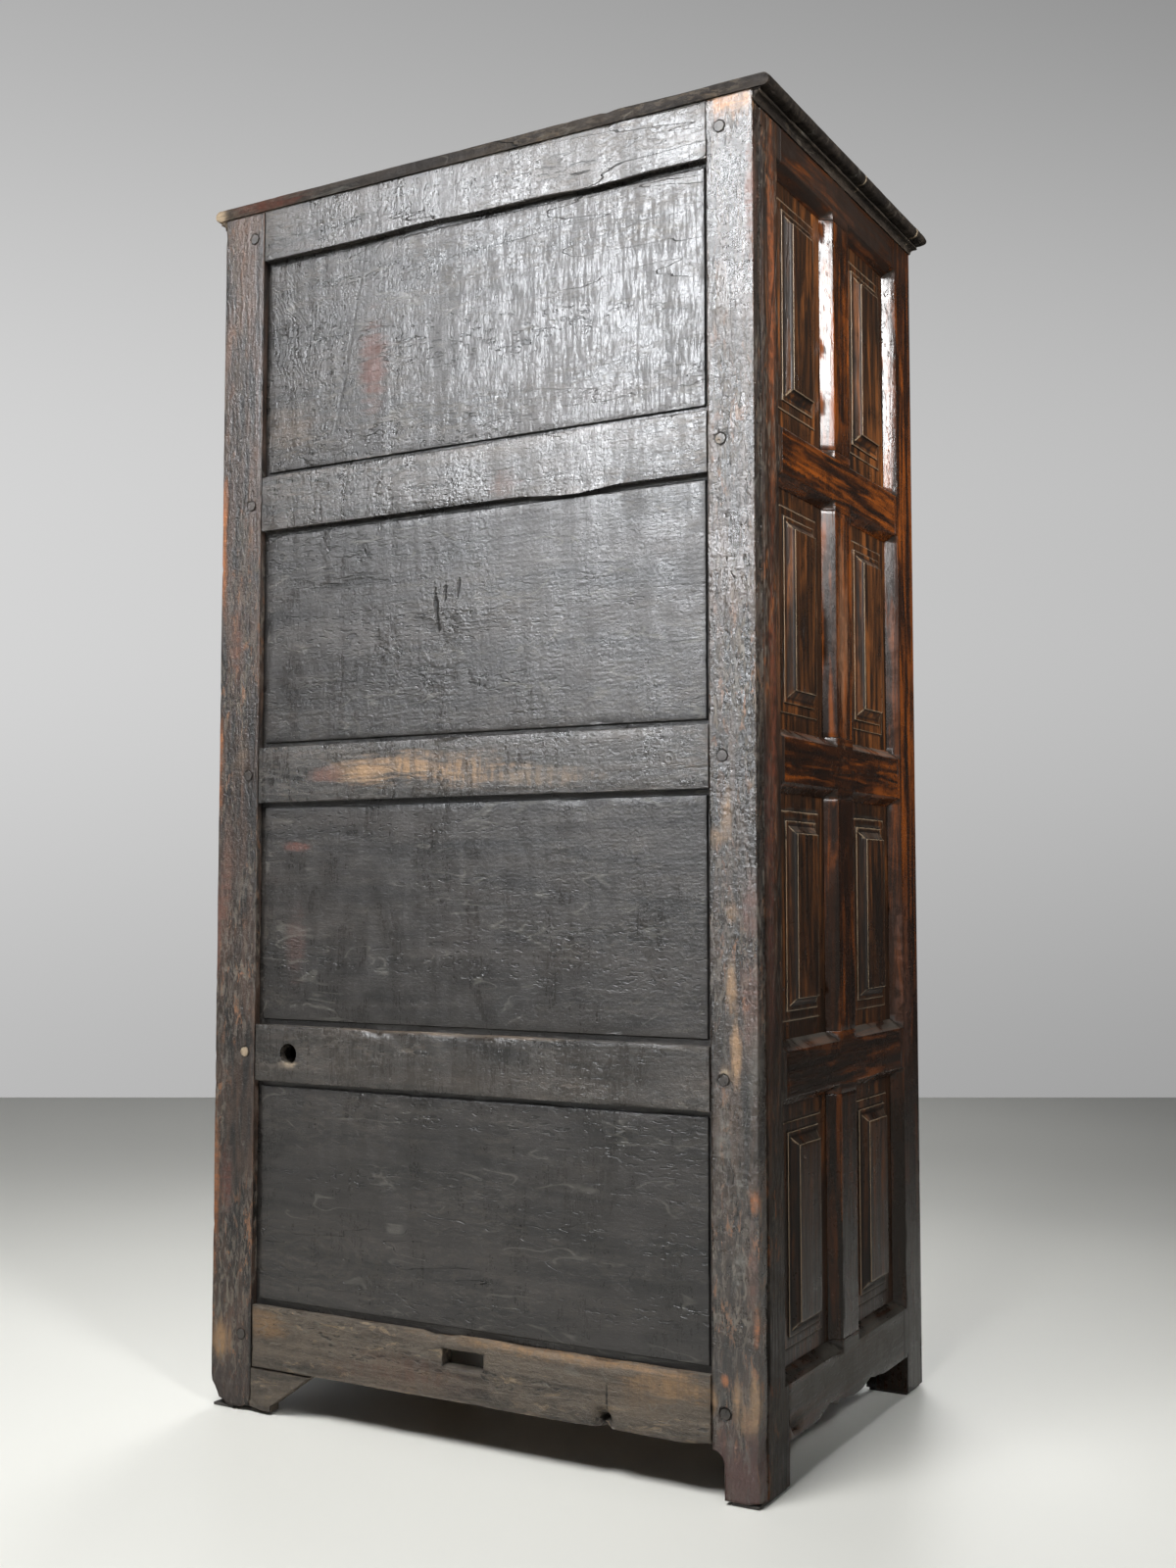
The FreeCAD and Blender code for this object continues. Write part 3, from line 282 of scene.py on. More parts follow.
class EffectGroups:
    """The shader node groups that the finishes share, each built once."""

    def __init__(self) -> None:
        """Builds every group."""
        self.grain = self._grain()
        self.rubbing = self._rubbing()
        self.scratches = self._scratches()
        self.tooling = self._tooling()
        self.film = self._film()
        self.wear = self._wear()
        self.spot = self._spot()
        self.checks = self._checks()
        self.crackle = self._crackle()
        self.worm = self._worm()
        self.rings = self._rings()
        self.flecks = self._flecks()

    @staticmethod
    def _grain() -> Tree:
        """Grain of old wood: broad streaks, raised ridges, fine fibres and open pores.

        Returns:
            The group's tree.
        """
        kinds = {"Long": "Vector", "Short": "Vector", "Pitch": "Float"}
        sheet = GroupSheet("grain", kinds, ("Streak", "Ridge", "Fibre", "Pore"))
        given = sheet.given
        sheet.give("Streak", sheet.clouds(given["Long"], given["Pitch"], 5.0, 0.6, 0.7))
        ridges = sheet.clouds(given["Long"], 120.0, 3.0, 0.6, 0.3)
        sheet.give("Ridge", sheet.step(ridges, 0.40, 0.68))
        sheet.give("Fibre", sheet.clouds(given["Short"], 260.0, 4.0, 0.65))
        pits = sheet.step(sheet.clouds(given["Short"], 230.0, 1.0, 0.5), 0.60, 0.68)
        where = sheet.step(sheet.clouds(given["Long"], 14.0, 2.0), 0.46, 0.62)
        sheet.give("Pore", sheet.times(pits, where))
        return sheet.tree

    @staticmethod
    def _rubbing() -> Tree:
        """Marks of wiping that cross the grain: fine strokes, narrow streaks and broad bands.

        Returns:
            The group's tree.
        """
        sheet = GroupSheet("cross rubbing", PLACED, ("Stroke", "Streak", "Band"))
        given = sheet.given
        for name, scale, detail, rough, twist, low, high in (
                ("Stroke", 300.0, 3.0, 0.6, 0.2, 0.42, 0.60),
                ("Streak", 90.0, 4.0, 0.6, 0.3, 0.36, 0.66),
                ("Band", 19.0, 3.0, 0.5, 0.5, 0.38, 0.64)):
            marks = sheet.clouds(given["Vector"], scale, detail, rough, twist)
            sheet.give(name, sheet.step(marks, low, high))
        return sheet.tree

    @staticmethod
    def _scratches() -> Tree:
        """Short thin scratches that hold pale dust.

        Returns:
            The group's tree.
        """
        sheet = GroupSheet("dusty scratches", PLACED, ("Mask",))
        given = sheet.given
        lines = sheet.clouds(given["Vector"], 30.0, 1.5, 0.5, 1.2)
        off = sheet.calc("ABSOLUTE", sheet.less(lines, 0.5))
        thin = sheet.less(1.0, sheet.step(off, 0.0, 0.03))
        where = sheet.step(sheet.clouds(given["Vector"], 38.0, 2.0), 0.54, 0.62)
        sheet.give("Mask", sheet.times(thin, where))
        return sheet.tree

    @staticmethod
    def _tooling() -> Tree:
        """Marks of a hand plane: broken bands that lie across the piece.

        Returns:
            The group's tree.
        """
        sheet = GroupSheet("hand tooling", PLACED | {"Scale": "Float"}, ("Height",))
        given = sheet.given
        fed = {"Vector": given["Vector"], "Scale": given["Scale"], "Distortion": 7.0, "Detail": 3.0,
               "Detail Scale": 0.9, "Detail Roughness": 0.6}
        waves = sheet.node("ShaderNodeTexWave", fed, wave_type="BANDS", bands_direction="X",
                           wave_profile="SIN")
        patches = sheet.step(sheet.clouds(given["Vector"], 7.0, 2.0), 0.36, 0.62)
        sheet.give("Height", sheet.times(waves.outputs["Fac"], patches))
        return sheet.tree

    @staticmethod
    def _film() -> Tree:
        """Old wax and dirt that lies unevenly.

        Returns:
            The group's tree.
        """
        sheet = GroupSheet("wax film", PLACED, ("Broad", "Patchy", "Fine"))
        given = sheet.given
        sheet.give("Broad", sheet.clouds(given["Vector"], 3.2, 3.0, 0.5, 0.4))
        sheet.give("Patchy", sheet.clouds(given["Vector"], 19.0, 5.0, 0.62, 0.8))
        sheet.give("Fine", sheet.clouds(given["Vector"], 210.0, 4.0, 0.68, 0.4))
        return sheet.tree

    @staticmethod
    def _wear() -> Tree:
        """Colour rubbed off along the arrises.

        Returns:
            The group's tree.
        """
        kinds = PLACED | {"Edge": "Float", "Amount": "Float"}
        sheet = GroupSheet("edge wear", kinds, ("Mask",))
        given = sheet.given
        broad = sheet.clouds(given["Vector"], 9.0, 2.0)
        fine = sheet.clouds(given["Vector"], 95.0, 4.0, 0.65)
        sum_of_noise = sheet.plus(sheet.times(broad, 0.9), sheet.times(fine, 0.7))
        rubbed = sheet.times(given["Edge"], given["Amount"])
        total = sheet.plus(sum_of_noise, rubbed)
        narrow = sheet.calc("POWER", given["Edge"], 2.0)
        sheet.give("Mask", sheet.times(sheet.step(total, 1.2, 1.6), narrow))
        return sheet.tree

    @staticmethod
    def _spot() -> Tree:
        """One ragged patch at a set place.

        Returns:
            The group's tree.
        """
        kinds = PLACED | {"Centre": "Vector", "Reach": "Vector"}
        kinds |= {label: "Float" for label in ("Lean", "Ragged", "Flecks", "Broken")}
        sheet = GroupSheet("patch", kinds, ("Mask",))
        given = sheet.given
        fed = {"Vector": given["Vector"], "Center": given["Centre"], "Angle": given["Lean"]}
        turned = sheet.node("ShaderNodeVectorRotate", fed, rotation_type="Y_AXIS")
        away = sheet.shift("SUBTRACT", turned.outputs["Vector"], given["Centre"])
        distance = sheet.shift("LENGTH", sheet.shift("DIVIDE", away, given["Reach"]))
        frayed = sheet.plus(distance, sheet.times(given["Ragged"], 1.6))
        inside = sheet.less(1.0, sheet.step(frayed, 1.05, 2.0))
        gaps = sheet.times(given["Broken"], sheet.less(1.0, given["Flecks"]))
        sheet.give("Mask", sheet.times(inside, sheet.less(1.0, gaps)))
        return sheet.tree

    @staticmethod
    def _checks() -> Tree:
        """Drying cracks along the grain.

        Returns:
            The group's tree.
        """
        kinds = PLACED | {"Width": "Float"}
        sheet = GroupSheet("drying checks", kinds, ("Mask",))
        given = sheet.given
        lines = sheet.clouds(given["Vector"], 22.0, 3.0, 0.5, 0.3)
        off = sheet.calc("ABSOLUTE", sheet.less(lines, 0.5))
        thin = sheet.less(1.0, sheet.step(off, 0.0, given["Width"]))
        where = sheet.step(sheet.clouds(given["Vector"], 8.0, 2.0), 0.52, 0.66)
        sheet.give("Mask", sheet.times(thin, where))
        return sheet.tree

    @staticmethod
    def _crackle() -> Tree:
        """Varnish that has crept into small islands.

        Returns:
            The group's tree.
        """
        sheet = GroupSheet("crackled varnish", PLACED | {"Scale": "Float"}, ("Height",))
        given = sheet.given
        bent = sheet.node("ShaderNodeTexNoise", {"Vector": given["Vector"], "Scale": 60.0})
        moved = sheet.shift("MULTIPLY", bent.outputs["Color"], (0.012, 0.012, 0.03))
        fed = {"Vector": sheet.shift("ADD", given["Vector"], moved), "Scale": given["Scale"],
               "Smoothness": 0.35}
        cells = sheet.node("ShaderNodeTexVoronoi", fed, feature="SMOOTH_F1")
        sheet.give("Height", sheet.less(1.0, cells.outputs["Distance"]))
        return sheet.tree

    @staticmethod
    def _worm() -> Tree:
        """Round flight holes of woodworm, in loose swarms.

        Returns:
            The group's tree.
        """
        sheet = GroupSheet("worm holes", PLACED | {"Amount": "Float"}, ("Mask",))
        given = sheet.given
        fed = {"Vector": given["Vector"], "Scale": 120.0}
        cells = sheet.node("ShaderNodeTexVoronoi", fed, feature="F1")
        hole = sheet.less(1.0, sheet.step(cells.outputs["Distance"], 0.07, 0.12))
        loose = sheet.clouds(given["Vector"], 11.0, 2.0)
        swarm = sheet.step(loose, sheet.less(0.8, given["Amount"]), 0.8)
        chosen = sheet.node("ShaderNodeSeparateColor", {0: cells.outputs["Color"]})
        kept = sheet.calc("LESS_THAN", chosen.outputs[0], swarm)
        sheet.give("Mask", sheet.times(hole, kept))
        return sheet.tree

    @staticmethod
    def _flecks() -> Tree:
        """Small dull and rusty flecks where the old surface has worn through.

        Returns:
            The group's tree.
        """
        sheet = GroupSheet("worn flecks", PLACED | {"Share": "Float"}, ("Dull", "Rusty"))
        given = sheet.given
        aside = sheet.shift("ADD", given["Vector"], (0.37, 0.11, 0.73))
        where = sheet.step(sheet.clouds(given["Vector"], 16.0, 3.0, 0.6), 0.40, 0.64)
        for name, vector, scale, low in (("Dull", given["Vector"], 170.0, 0.51),
                                         ("Rusty", aside, 95.0, 0.56)):
            mask = sheet.step(sheet.clouds(vector, scale, 6.0, 0.72, 0.6), low, low + 0.06)
            sheet.give(name, sheet.times(sheet.times(mask, where), given["Share"]))
        return sheet.tree

    @staticmethod
    def _rings() -> Tree:
        """Growth rings around a knot or the crown of a plain-sawn board.

        Returns:
            The group's tree.
        """
        kinds = PLACED | {"Centre": "Vector", "Reach": "Vector", "Count": "Float"}
        sheet = GroupSheet("ring figure", kinds, ("Lines",))
        given = sheet.given
        away = sheet.shift("SUBTRACT", given["Vector"], given["Centre"])
        away = sheet.shift("DIVIDE", away, given["Reach"])
        bent = sheet.times(sheet.clouds(given["Vector"], 14.0, 3.0), 0.5)
        distance = sheet.plus(sheet.shift("LENGTH", away), bent)
        turn = sheet.times(sheet.times(distance, given["Count"]), 2.0 * math.pi)
        lines = sheet.step(sheet.calc("SINE", turn), -0.1, 0.9)
        mask = sheet.less(1.0, sheet.step(distance, 0.75, 1.35))
        sheet.give("Lines", sheet.times(lines, mask))
        return sheet.tree


@dataclass(frozen=True)
class RingFigure:
    """Growth rings that show at one place, in millimetres, with how many there are and how strong."""

    centre: Triple
    reach: Triple
    count: float
    depth: float = 0.25
    strength: float = 0.35


@dataclass(frozen=True)
class Patch:
    """A place where the old surface differs: rubbed bare, stained or grey.

    Places and reaches are in millimetres, in the frame of the cabinet.
    """

    centre: Triple
    reach: Triple
    colour: Colour
    strength: float = 1.0
    broken: float = 0.4
    lean: float = 0.0
    cut: float = 0.0


@dataclass(frozen=True)
class WoodFinish:
    """One finish of aged wood.

    Colours are the wood under thick wax, the wood under thin wax, the rubbed arrises (on the side panels
    partly a painted highlight) and the hollows.
    Depths are in millimetres, scales and pitches are counts in a metre, and shares go from 0 to 1.
    """

    name: str
    deep: Colour
    open: Colour
    rubbed: Colour
    dirt: Colour
    gloss: tuple[float, float] = (0.34, 0.56)
    sheen_level: float = 0.5
    wear: float = 0.8
    streak_pitch: float = 34.0
    streak_draw: float = 0.11
    thin_from: float = 0.55
    thin_to: float = 1.02
    ridge_share: float = 0.3
    ridge_depth: float = 0.2
    fibre_depth: float = 0.10
    tooth_depth: float = 0.05
    pit_depth: float = 0.2
    pore_share: float = 0.7
    lump_depth: float = 0.0
    lump_scale: float = 65.0
    rub_depth: float = 0.0
    rub_share: float = 0.0
    stroke_share: float = 0.0
    stroke_depth: float = 0.12
    flecked: float = 0.0
    fleck_depth: float = 0.45
    fleck_top: float = 0.0
    fleck_fade: float = 0.6
    scratch_share: float = 0.0
    tooling_depth: float = 0.0
    tooling_scale: float = 9.0
    crackle_depth: float = 0.0
    crackle_scale: float = 120.0
    check_width: float = 0.012
    crack_depth: float = 1.2
    worm: float = 0.05
    hollow_share: float = 0.92
    dulling: float = 0.35
    low_darkening: float = 0.0
    low_darkening_top: float = 1.0
    dust: float = 0.3
    patches: tuple[Patch, ...] = ()
    figures: tuple[RingFigure, ...] = ()

    def material(self, groups: EffectGroups, run: Run) -> Material:
        """The material for pieces whose grain runs one way."""
        return WoodSheet(self, groups, run).build()


class WoodSheet(NodeSheet):
    """The nodes of one wood material: a colour and a height, with the marks of age laid over them."""

    SHORT_DRAW = 0.3
    CROSS_DRAW = 0.13
    CROSS_LEAN = 5.0

    def __init__(self, finish: WoodFinish, groups: EffectGroups, run: Run) -> None:
        """Starts the material and places the marks that its layers share.

        Args:
            finish: the finish that it shows.
            groups: the shared node groups.
            run: the way that the grain runs.
        """
        sheet, self.made = NodeSheet.of_material(f"{finish.name}_{run.name.lower()}")
        super().__init__(sheet.tree)
        self.finish = finish
        self.groups = groups
        self.at = self.place()
        self.short = self._stretched(run, self.SHORT_DRAW)
        self.long = self._stretched(run, finish.streak_draw)
        crossing = Run.ACROSS if run is Run.UP else Run.UP
        across = self._stretched(crossing, self.CROSS_DRAW, self.CROSS_LEAN)
        self.hollow = self.layer(HOLLOW_LAYER)
        self.grain = self.group(groups.grain, Long=self.long, Short=self.short, Pitch=finish.streak_pitch)
        self.film = self.group(groups.film, Vector=self.at)
        self.rubbing = self.group(groups.rubbing, Vector=across)
        self.colour: Value = finish.deep
        self.height: Value = self.times(self.grain["Ridge"], finish.ridge_depth)
        self.worn: Value = 0.0
        self.bare: Value = 0.0
        self.dusty: Value = 0.0
        self.cuts: Value = 0.0

    def build(self) -> Material:
        """Lays colours, gloss and height over each other.

        Returns:
            The material.
        """
        self._ground()
        self._figures()
        self._flecks()
        self._patches()
        self._wear()
        rough = self._roughness()
        self._relief()
        self.principled({"Base Color": self.colour, "Roughness": rough,
                         "Normal": self.bump(self.height, MM),
                         "Specular IOR Level": self.finish.sheen_level})
        return self.made

    def _stretched(self, run: Run, share: float, lean: float = 0.0) -> Socket:
        """Coordinates that draw a pattern out along one way.

        Args:
            run: the way that the pattern is drawn out.
            share: how much slower the pattern changes that way.
            lean: how far the pattern leans, in degrees.

        Returns:
            The socket with the new coordinates.
        """
        squeeze = [1.0, 1.0, 1.0]
        squeeze[run.value] = share
        fed = {"Vector": self.at, "Scale": squeeze, "Rotation": (0.0, math.radians(lean), 0.0)}
        return self.node("ShaderNodeMapping", fed).outputs["Vector"]

    def _paint(self, share: Value, colour: Colour) -> None:
        """Lays a colour over the colour so far."""
        self.colour = self.tint(share, self.colour, colour)

    def _swell(self, mark: Value, depth: float) -> None:
        """Raises the surface where a mark is."""
        self.height = self.plus(self.height, self.times(mark, depth))

    def _sink(self, mark: Value, depth: float) -> None:
        """Lowers the surface where a mark is."""
        self.height = self.less(self.height, self.times(mark, depth))

    def _ground(self) -> None:
        """Lays the colour of the wood before any marks: streaked, patchy and darker near the floor."""
        finish = self.finish
        thin = self.plus(self.times(self.grain["Streak"], 0.9), self.times(self.film["Patchy"], 0.25))
        thin = self.plus(thin, self.times(self.film["Broad"], 0.35))
        self._paint(self.step(thin, finish.thin_from, finish.thin_to), finish.open)
        self._paint(self.times(self.grain["Ridge"], finish.ridge_share), finish.open)
        # Darker towards the bottom: the dirt colour is laid more strongly below the given height.
        if finish.low_darkening:
            wandering = self.plus(self.height_of(self.at), self.times(self.film["Broad"], 0.5))
            low = self.less(1.0, self.step(wandering, 0.35, finish.low_darkening_top + 0.25))
            self._paint(self.times(low, finish.low_darkening), finish.dirt)
        self._paint(self.times(self.grain["Pore"], finish.pore_share), finish.dirt)

    def _figures(self) -> None:
        """Lays growth rings where they show."""
        for figure in self.finish.figures:
            rings = self.group(self.groups.rings, Vector=self.at, Count=figure.count,
                               Centre=tuple(millimetres(*figure.centre)),
                               Reach=tuple(millimetres(*figure.reach)))
            self._paint(self.times(rings["Lines"], figure.strength), self.finish.rubbed)
            self._swell(rings["Lines"], figure.depth)

    def _flecks(self) -> None:
        """Lays dull and rusty flecks, fewer above the height where they fade."""
        finish = self.finish
        if not finish.flecked:
            return
        share: Value = finish.flecked
        if finish.fleck_top:
            above = self.step(self.height_of(self.at), finish.fleck_top - 0.2, finish.fleck_top + 0.2)
            share = self.less(finish.flecked, self.times(above, finish.fleck_fade * finish.flecked))
        flecks = self.group(self.groups.flecks, Vector=self.short, Share=share)
        self._paint(flecks["Dull"], WORN)
        self._paint(flecks["Rusty"], finish.rubbed)
        self._sink(flecks["Dull"], finish.fleck_depth)
        self.worn = self.most(flecks["Dull"], flecks["Rusty"])

    def _patches(self) -> None:
        """Lays the patches, and lowers the surface where one is cut."""
        bare: Value = 0.0
        sunk: Value = 0.0
        if self.finish.patches:
            ragged = self.plus(self.times(self.film["Patchy"], 0.4), self.times(self.grain["Ridge"], 0.3))
            ragged = self.plus(ragged, self.times(self.grain["Fibre"], 0.5))
            flecks = self.times(self.clouds(self.at, 85.0, 5.0, 0.7, 0.6), 0.75)
            flecks = self.plus(flecks, self.times(self.rubbing["Streak"], 0.25))
            flecks = self.step(flecks, 0.42, 0.58)
        for patch in self.finish.patches:
            spot = self.group(self.groups.spot, Vector=self.at, Ragged=ragged, Flecks=flecks,
                              Centre=tuple(millimetres(*patch.centre)),
                              Reach=tuple(millimetres(*patch.reach)),
                              Lean=math.radians(patch.lean), Broken=patch.broken)
            shown = self.times(spot["Mask"], patch.strength)
            self._paint(shown, patch.colour)
            bare = self.most(bare, shown)
            if patch.cut:
                sunk = self.plus(sunk, self.times(spot["Mask"], patch.cut))
        self.bare = self.most(bare, self.worn)
        self.height = self.less(self.height, sunk)

    def _wear(self) -> None:
        """Rubs the arrises, and lays dust on ledges, dirt in hollows, and cracks and worm holes."""
        finish = self.finish
        rubbed = self.group(self.groups.wear, Vector=self.at, Edge=self.layer(EDGE_LAYER),
                            Amount=finish.wear)
        # On the side panels this pale arris colour is partly real wear and partly a painted highlight on
        # the moulding edges.
        self._paint(rubbed["Mask"], finish.rubbed)
        dusty = self.times(self.layer(LEDGE_LAYER), self.step(self.film["Patchy"], 0.35, 0.65))
        self.dusty = self.times(dusty, finish.dust)
        if finish.scratch_share:
            scratches = self.group(self.groups.scratches, Vector=self.short)["Mask"]
            self.dusty = self.most(self.dusty, self.times(scratches, finish.scratch_share))
        self._paint(self.dusty, DUST)
        self._paint(self.times(self.hollow, finish.hollow_share), finish.dirt)
        checks = self.group(self.groups.checks, Vector=self.long, Width=finish.check_width)["Mask"]
        worm = self.group(self.groups.worm, Vector=self.at, Amount=finish.worm)["Mask"]
        self.cuts = self.most(checks, worm)
        self._paint(self.cuts, finish.dirt)

    def _roughness(self) -> Socket:
        """Works out the roughness from the wax, the wiping and what lies on it.

        Returns:
            The socket with the roughness.
        """
        finish = self.finish
        shine = self.plus(self.times(self.film["Patchy"], 0.7), self.times(self.film["Fine"], 0.3))
        streaked = self.times(self.less(self.rubbing["Streak"], 0.5), finish.rub_share)
        banded = self.times(self.less(self.rubbing["Band"], 0.5), finish.rub_share)
        shine = self.plus(shine, self.plus(streaked, banded))
        if finish.stroke_share:
            stroked = self.times(self.less(self.rubbing["Stroke"], 0.5), finish.stroke_share)
            shine = self.plus(shine, stroked)
            self._swell(self.rubbing["Stroke"], finish.stroke_depth * finish.stroke_share)
        low, high = finish.gloss
        rough = self.plus(low, self.times(self.step(shine, 0.3, 0.7), high - low))
        dull = self.most(self.most(self.bare, self.hollow), self.dusty)
        return self.calc("ADD", rough, self.times(dull, finish.dulling), clamp=True)

    def _relief(self) -> None:
        """Raises fibres, wax, wiping, plane marks, crackle and lumps, and sinks pores and cracks."""
        finish = self.finish
        self._swell(self.grain["Fibre"], finish.fibre_depth)
        self._swell(self.film["Fine"], finish.tooth_depth)
        self._sink(self.grain["Pore"], finish.pit_depth)
        self._swell(self.rubbing["Streak"], finish.rub_depth)
        self._sink(self.cuts, finish.crack_depth)
        if finish.tooling_depth:
            tooling = self.group(self.groups.tooling, Vector=self.at, Scale=finish.tooling_scale)
            self._swell(tooling["Height"], finish.tooling_depth)
        if finish.crackle_depth:
            crackle = self.group(self.groups.crackle, Vector=self.at, Scale=finish.crackle_scale)
            self._swell(crackle["Height"], finish.crackle_depth)
        if finish.lump_depth:
            self._swell(self.clouds(self.at, finish.lump_scale, 3.0, 0.55, 0.5), finish.lump_depth)


@dataclass(frozen=True)
class IronFinish:
    """Forged iron, dark with scale and brown with old rust."""

    name: str = "forged_iron"
    scale: Colour = (0.030, 0.029, 0.028, 1.0)
    bright: Colour = (0.17, 0.165, 0.16, 1.0)
    rust: Colour = (0.085, 0.034, 0.014, 1.0)
    rust_share: float = 0.8
    metallic: float = 0.9
    rust_over_metal: float = 0.7
    gloss: tuple[float, float] = (0.32, 0.70)
    wear: float = 0.8
    hammer_scale: float = 170.0
    hammer_depth: float = 0.6

    def material(self, groups: EffectGroups) -> Material:
        """Builds the material.

        Args:
            groups: the shared node groups.

        Returns:
            The material.
        """
        sheet, made = NodeSheet.of_material(self.name)
        place = sheet.place()
        film = sheet.group(groups.film, Vector=place)
        wear = sheet.group(groups.wear, Vector=place, Edge=sheet.layer(EDGE_LAYER), Amount=self.wear)
        rusty = sheet.step(sheet.clouds(place, 140.0, 5.0, 0.7), 0.48, 0.66)
        colour = sheet.tint(sheet.times(rusty, self.rust_share), self.scale, self.rust)
        colour = sheet.tint(wear["Mask"], colour, self.bright)
        metal = sheet.less(self.metallic, sheet.times(rusty, self.rust_over_metal))
        low, high = self.gloss
        rough = sheet.plus(low, sheet.times(rusty, high - low))
        hammered = sheet.plus(sheet.times(sheet.clouds(place, self.hammer_scale, 1.0), 0.5),
                              sheet.times(film["Fine"], 0.2))
        sheet.principled({"Base Color": colour, "Metallic": metal, "Roughness": rough,
                          "Normal": sheet.bump(hammered, self.hammer_depth * MM)})
        return made


@dataclass(frozen=True)
class FeltFinish:
    """Pressed grey felt of the foot pads."""

    name: str = "pad_felt"
    pale: Colour = (0.075, 0.068, 0.060, 1.0)
    dark: Colour = (0.030, 0.027, 0.024, 1.0)
    nap: float = 0.5
    rough: float = 0.95

    def material(self) -> Material:
        """Builds the material.

        Returns:
            The material.
        """
        sheet, made = NodeSheet.of_material(self.name)
        fuzz = sheet.clouds(sheet.place(), 900.0, 4.0, 0.7, 1.2)
        colour = sheet.tint(sheet.step(fuzz, 0.35, 0.65), self.dark, self.pale)
        sheet.principled({"Base Color": colour, "Roughness": self.rough,
                          "Normal": sheet.bump(fuzz, self.nap * MM)})
        return made


@dataclass(frozen=True)
class Bite:
    """A place where wood has gone or been pushed, in millimetres: where, how far and which way."""

    centre: Triple
    reach: Triple
    push: Triple
    rough: float = 0.5


@dataclass(frozen=True)
class Ageing:
    """How age has changed the shape of a piece. Lengths are in millimetres."""

    arris: float = 1.6
    cell: Triple = (14.0, 14.0, 14.0)
    hollow: float = 0.7
    ripple: float = 0.25
    nick: float = 1.8
    wander: float = 0.0
    sharp_from: float = 24.0
    edge_spread: float = 0.45
    bites: tuple[Bite, ...] = ()


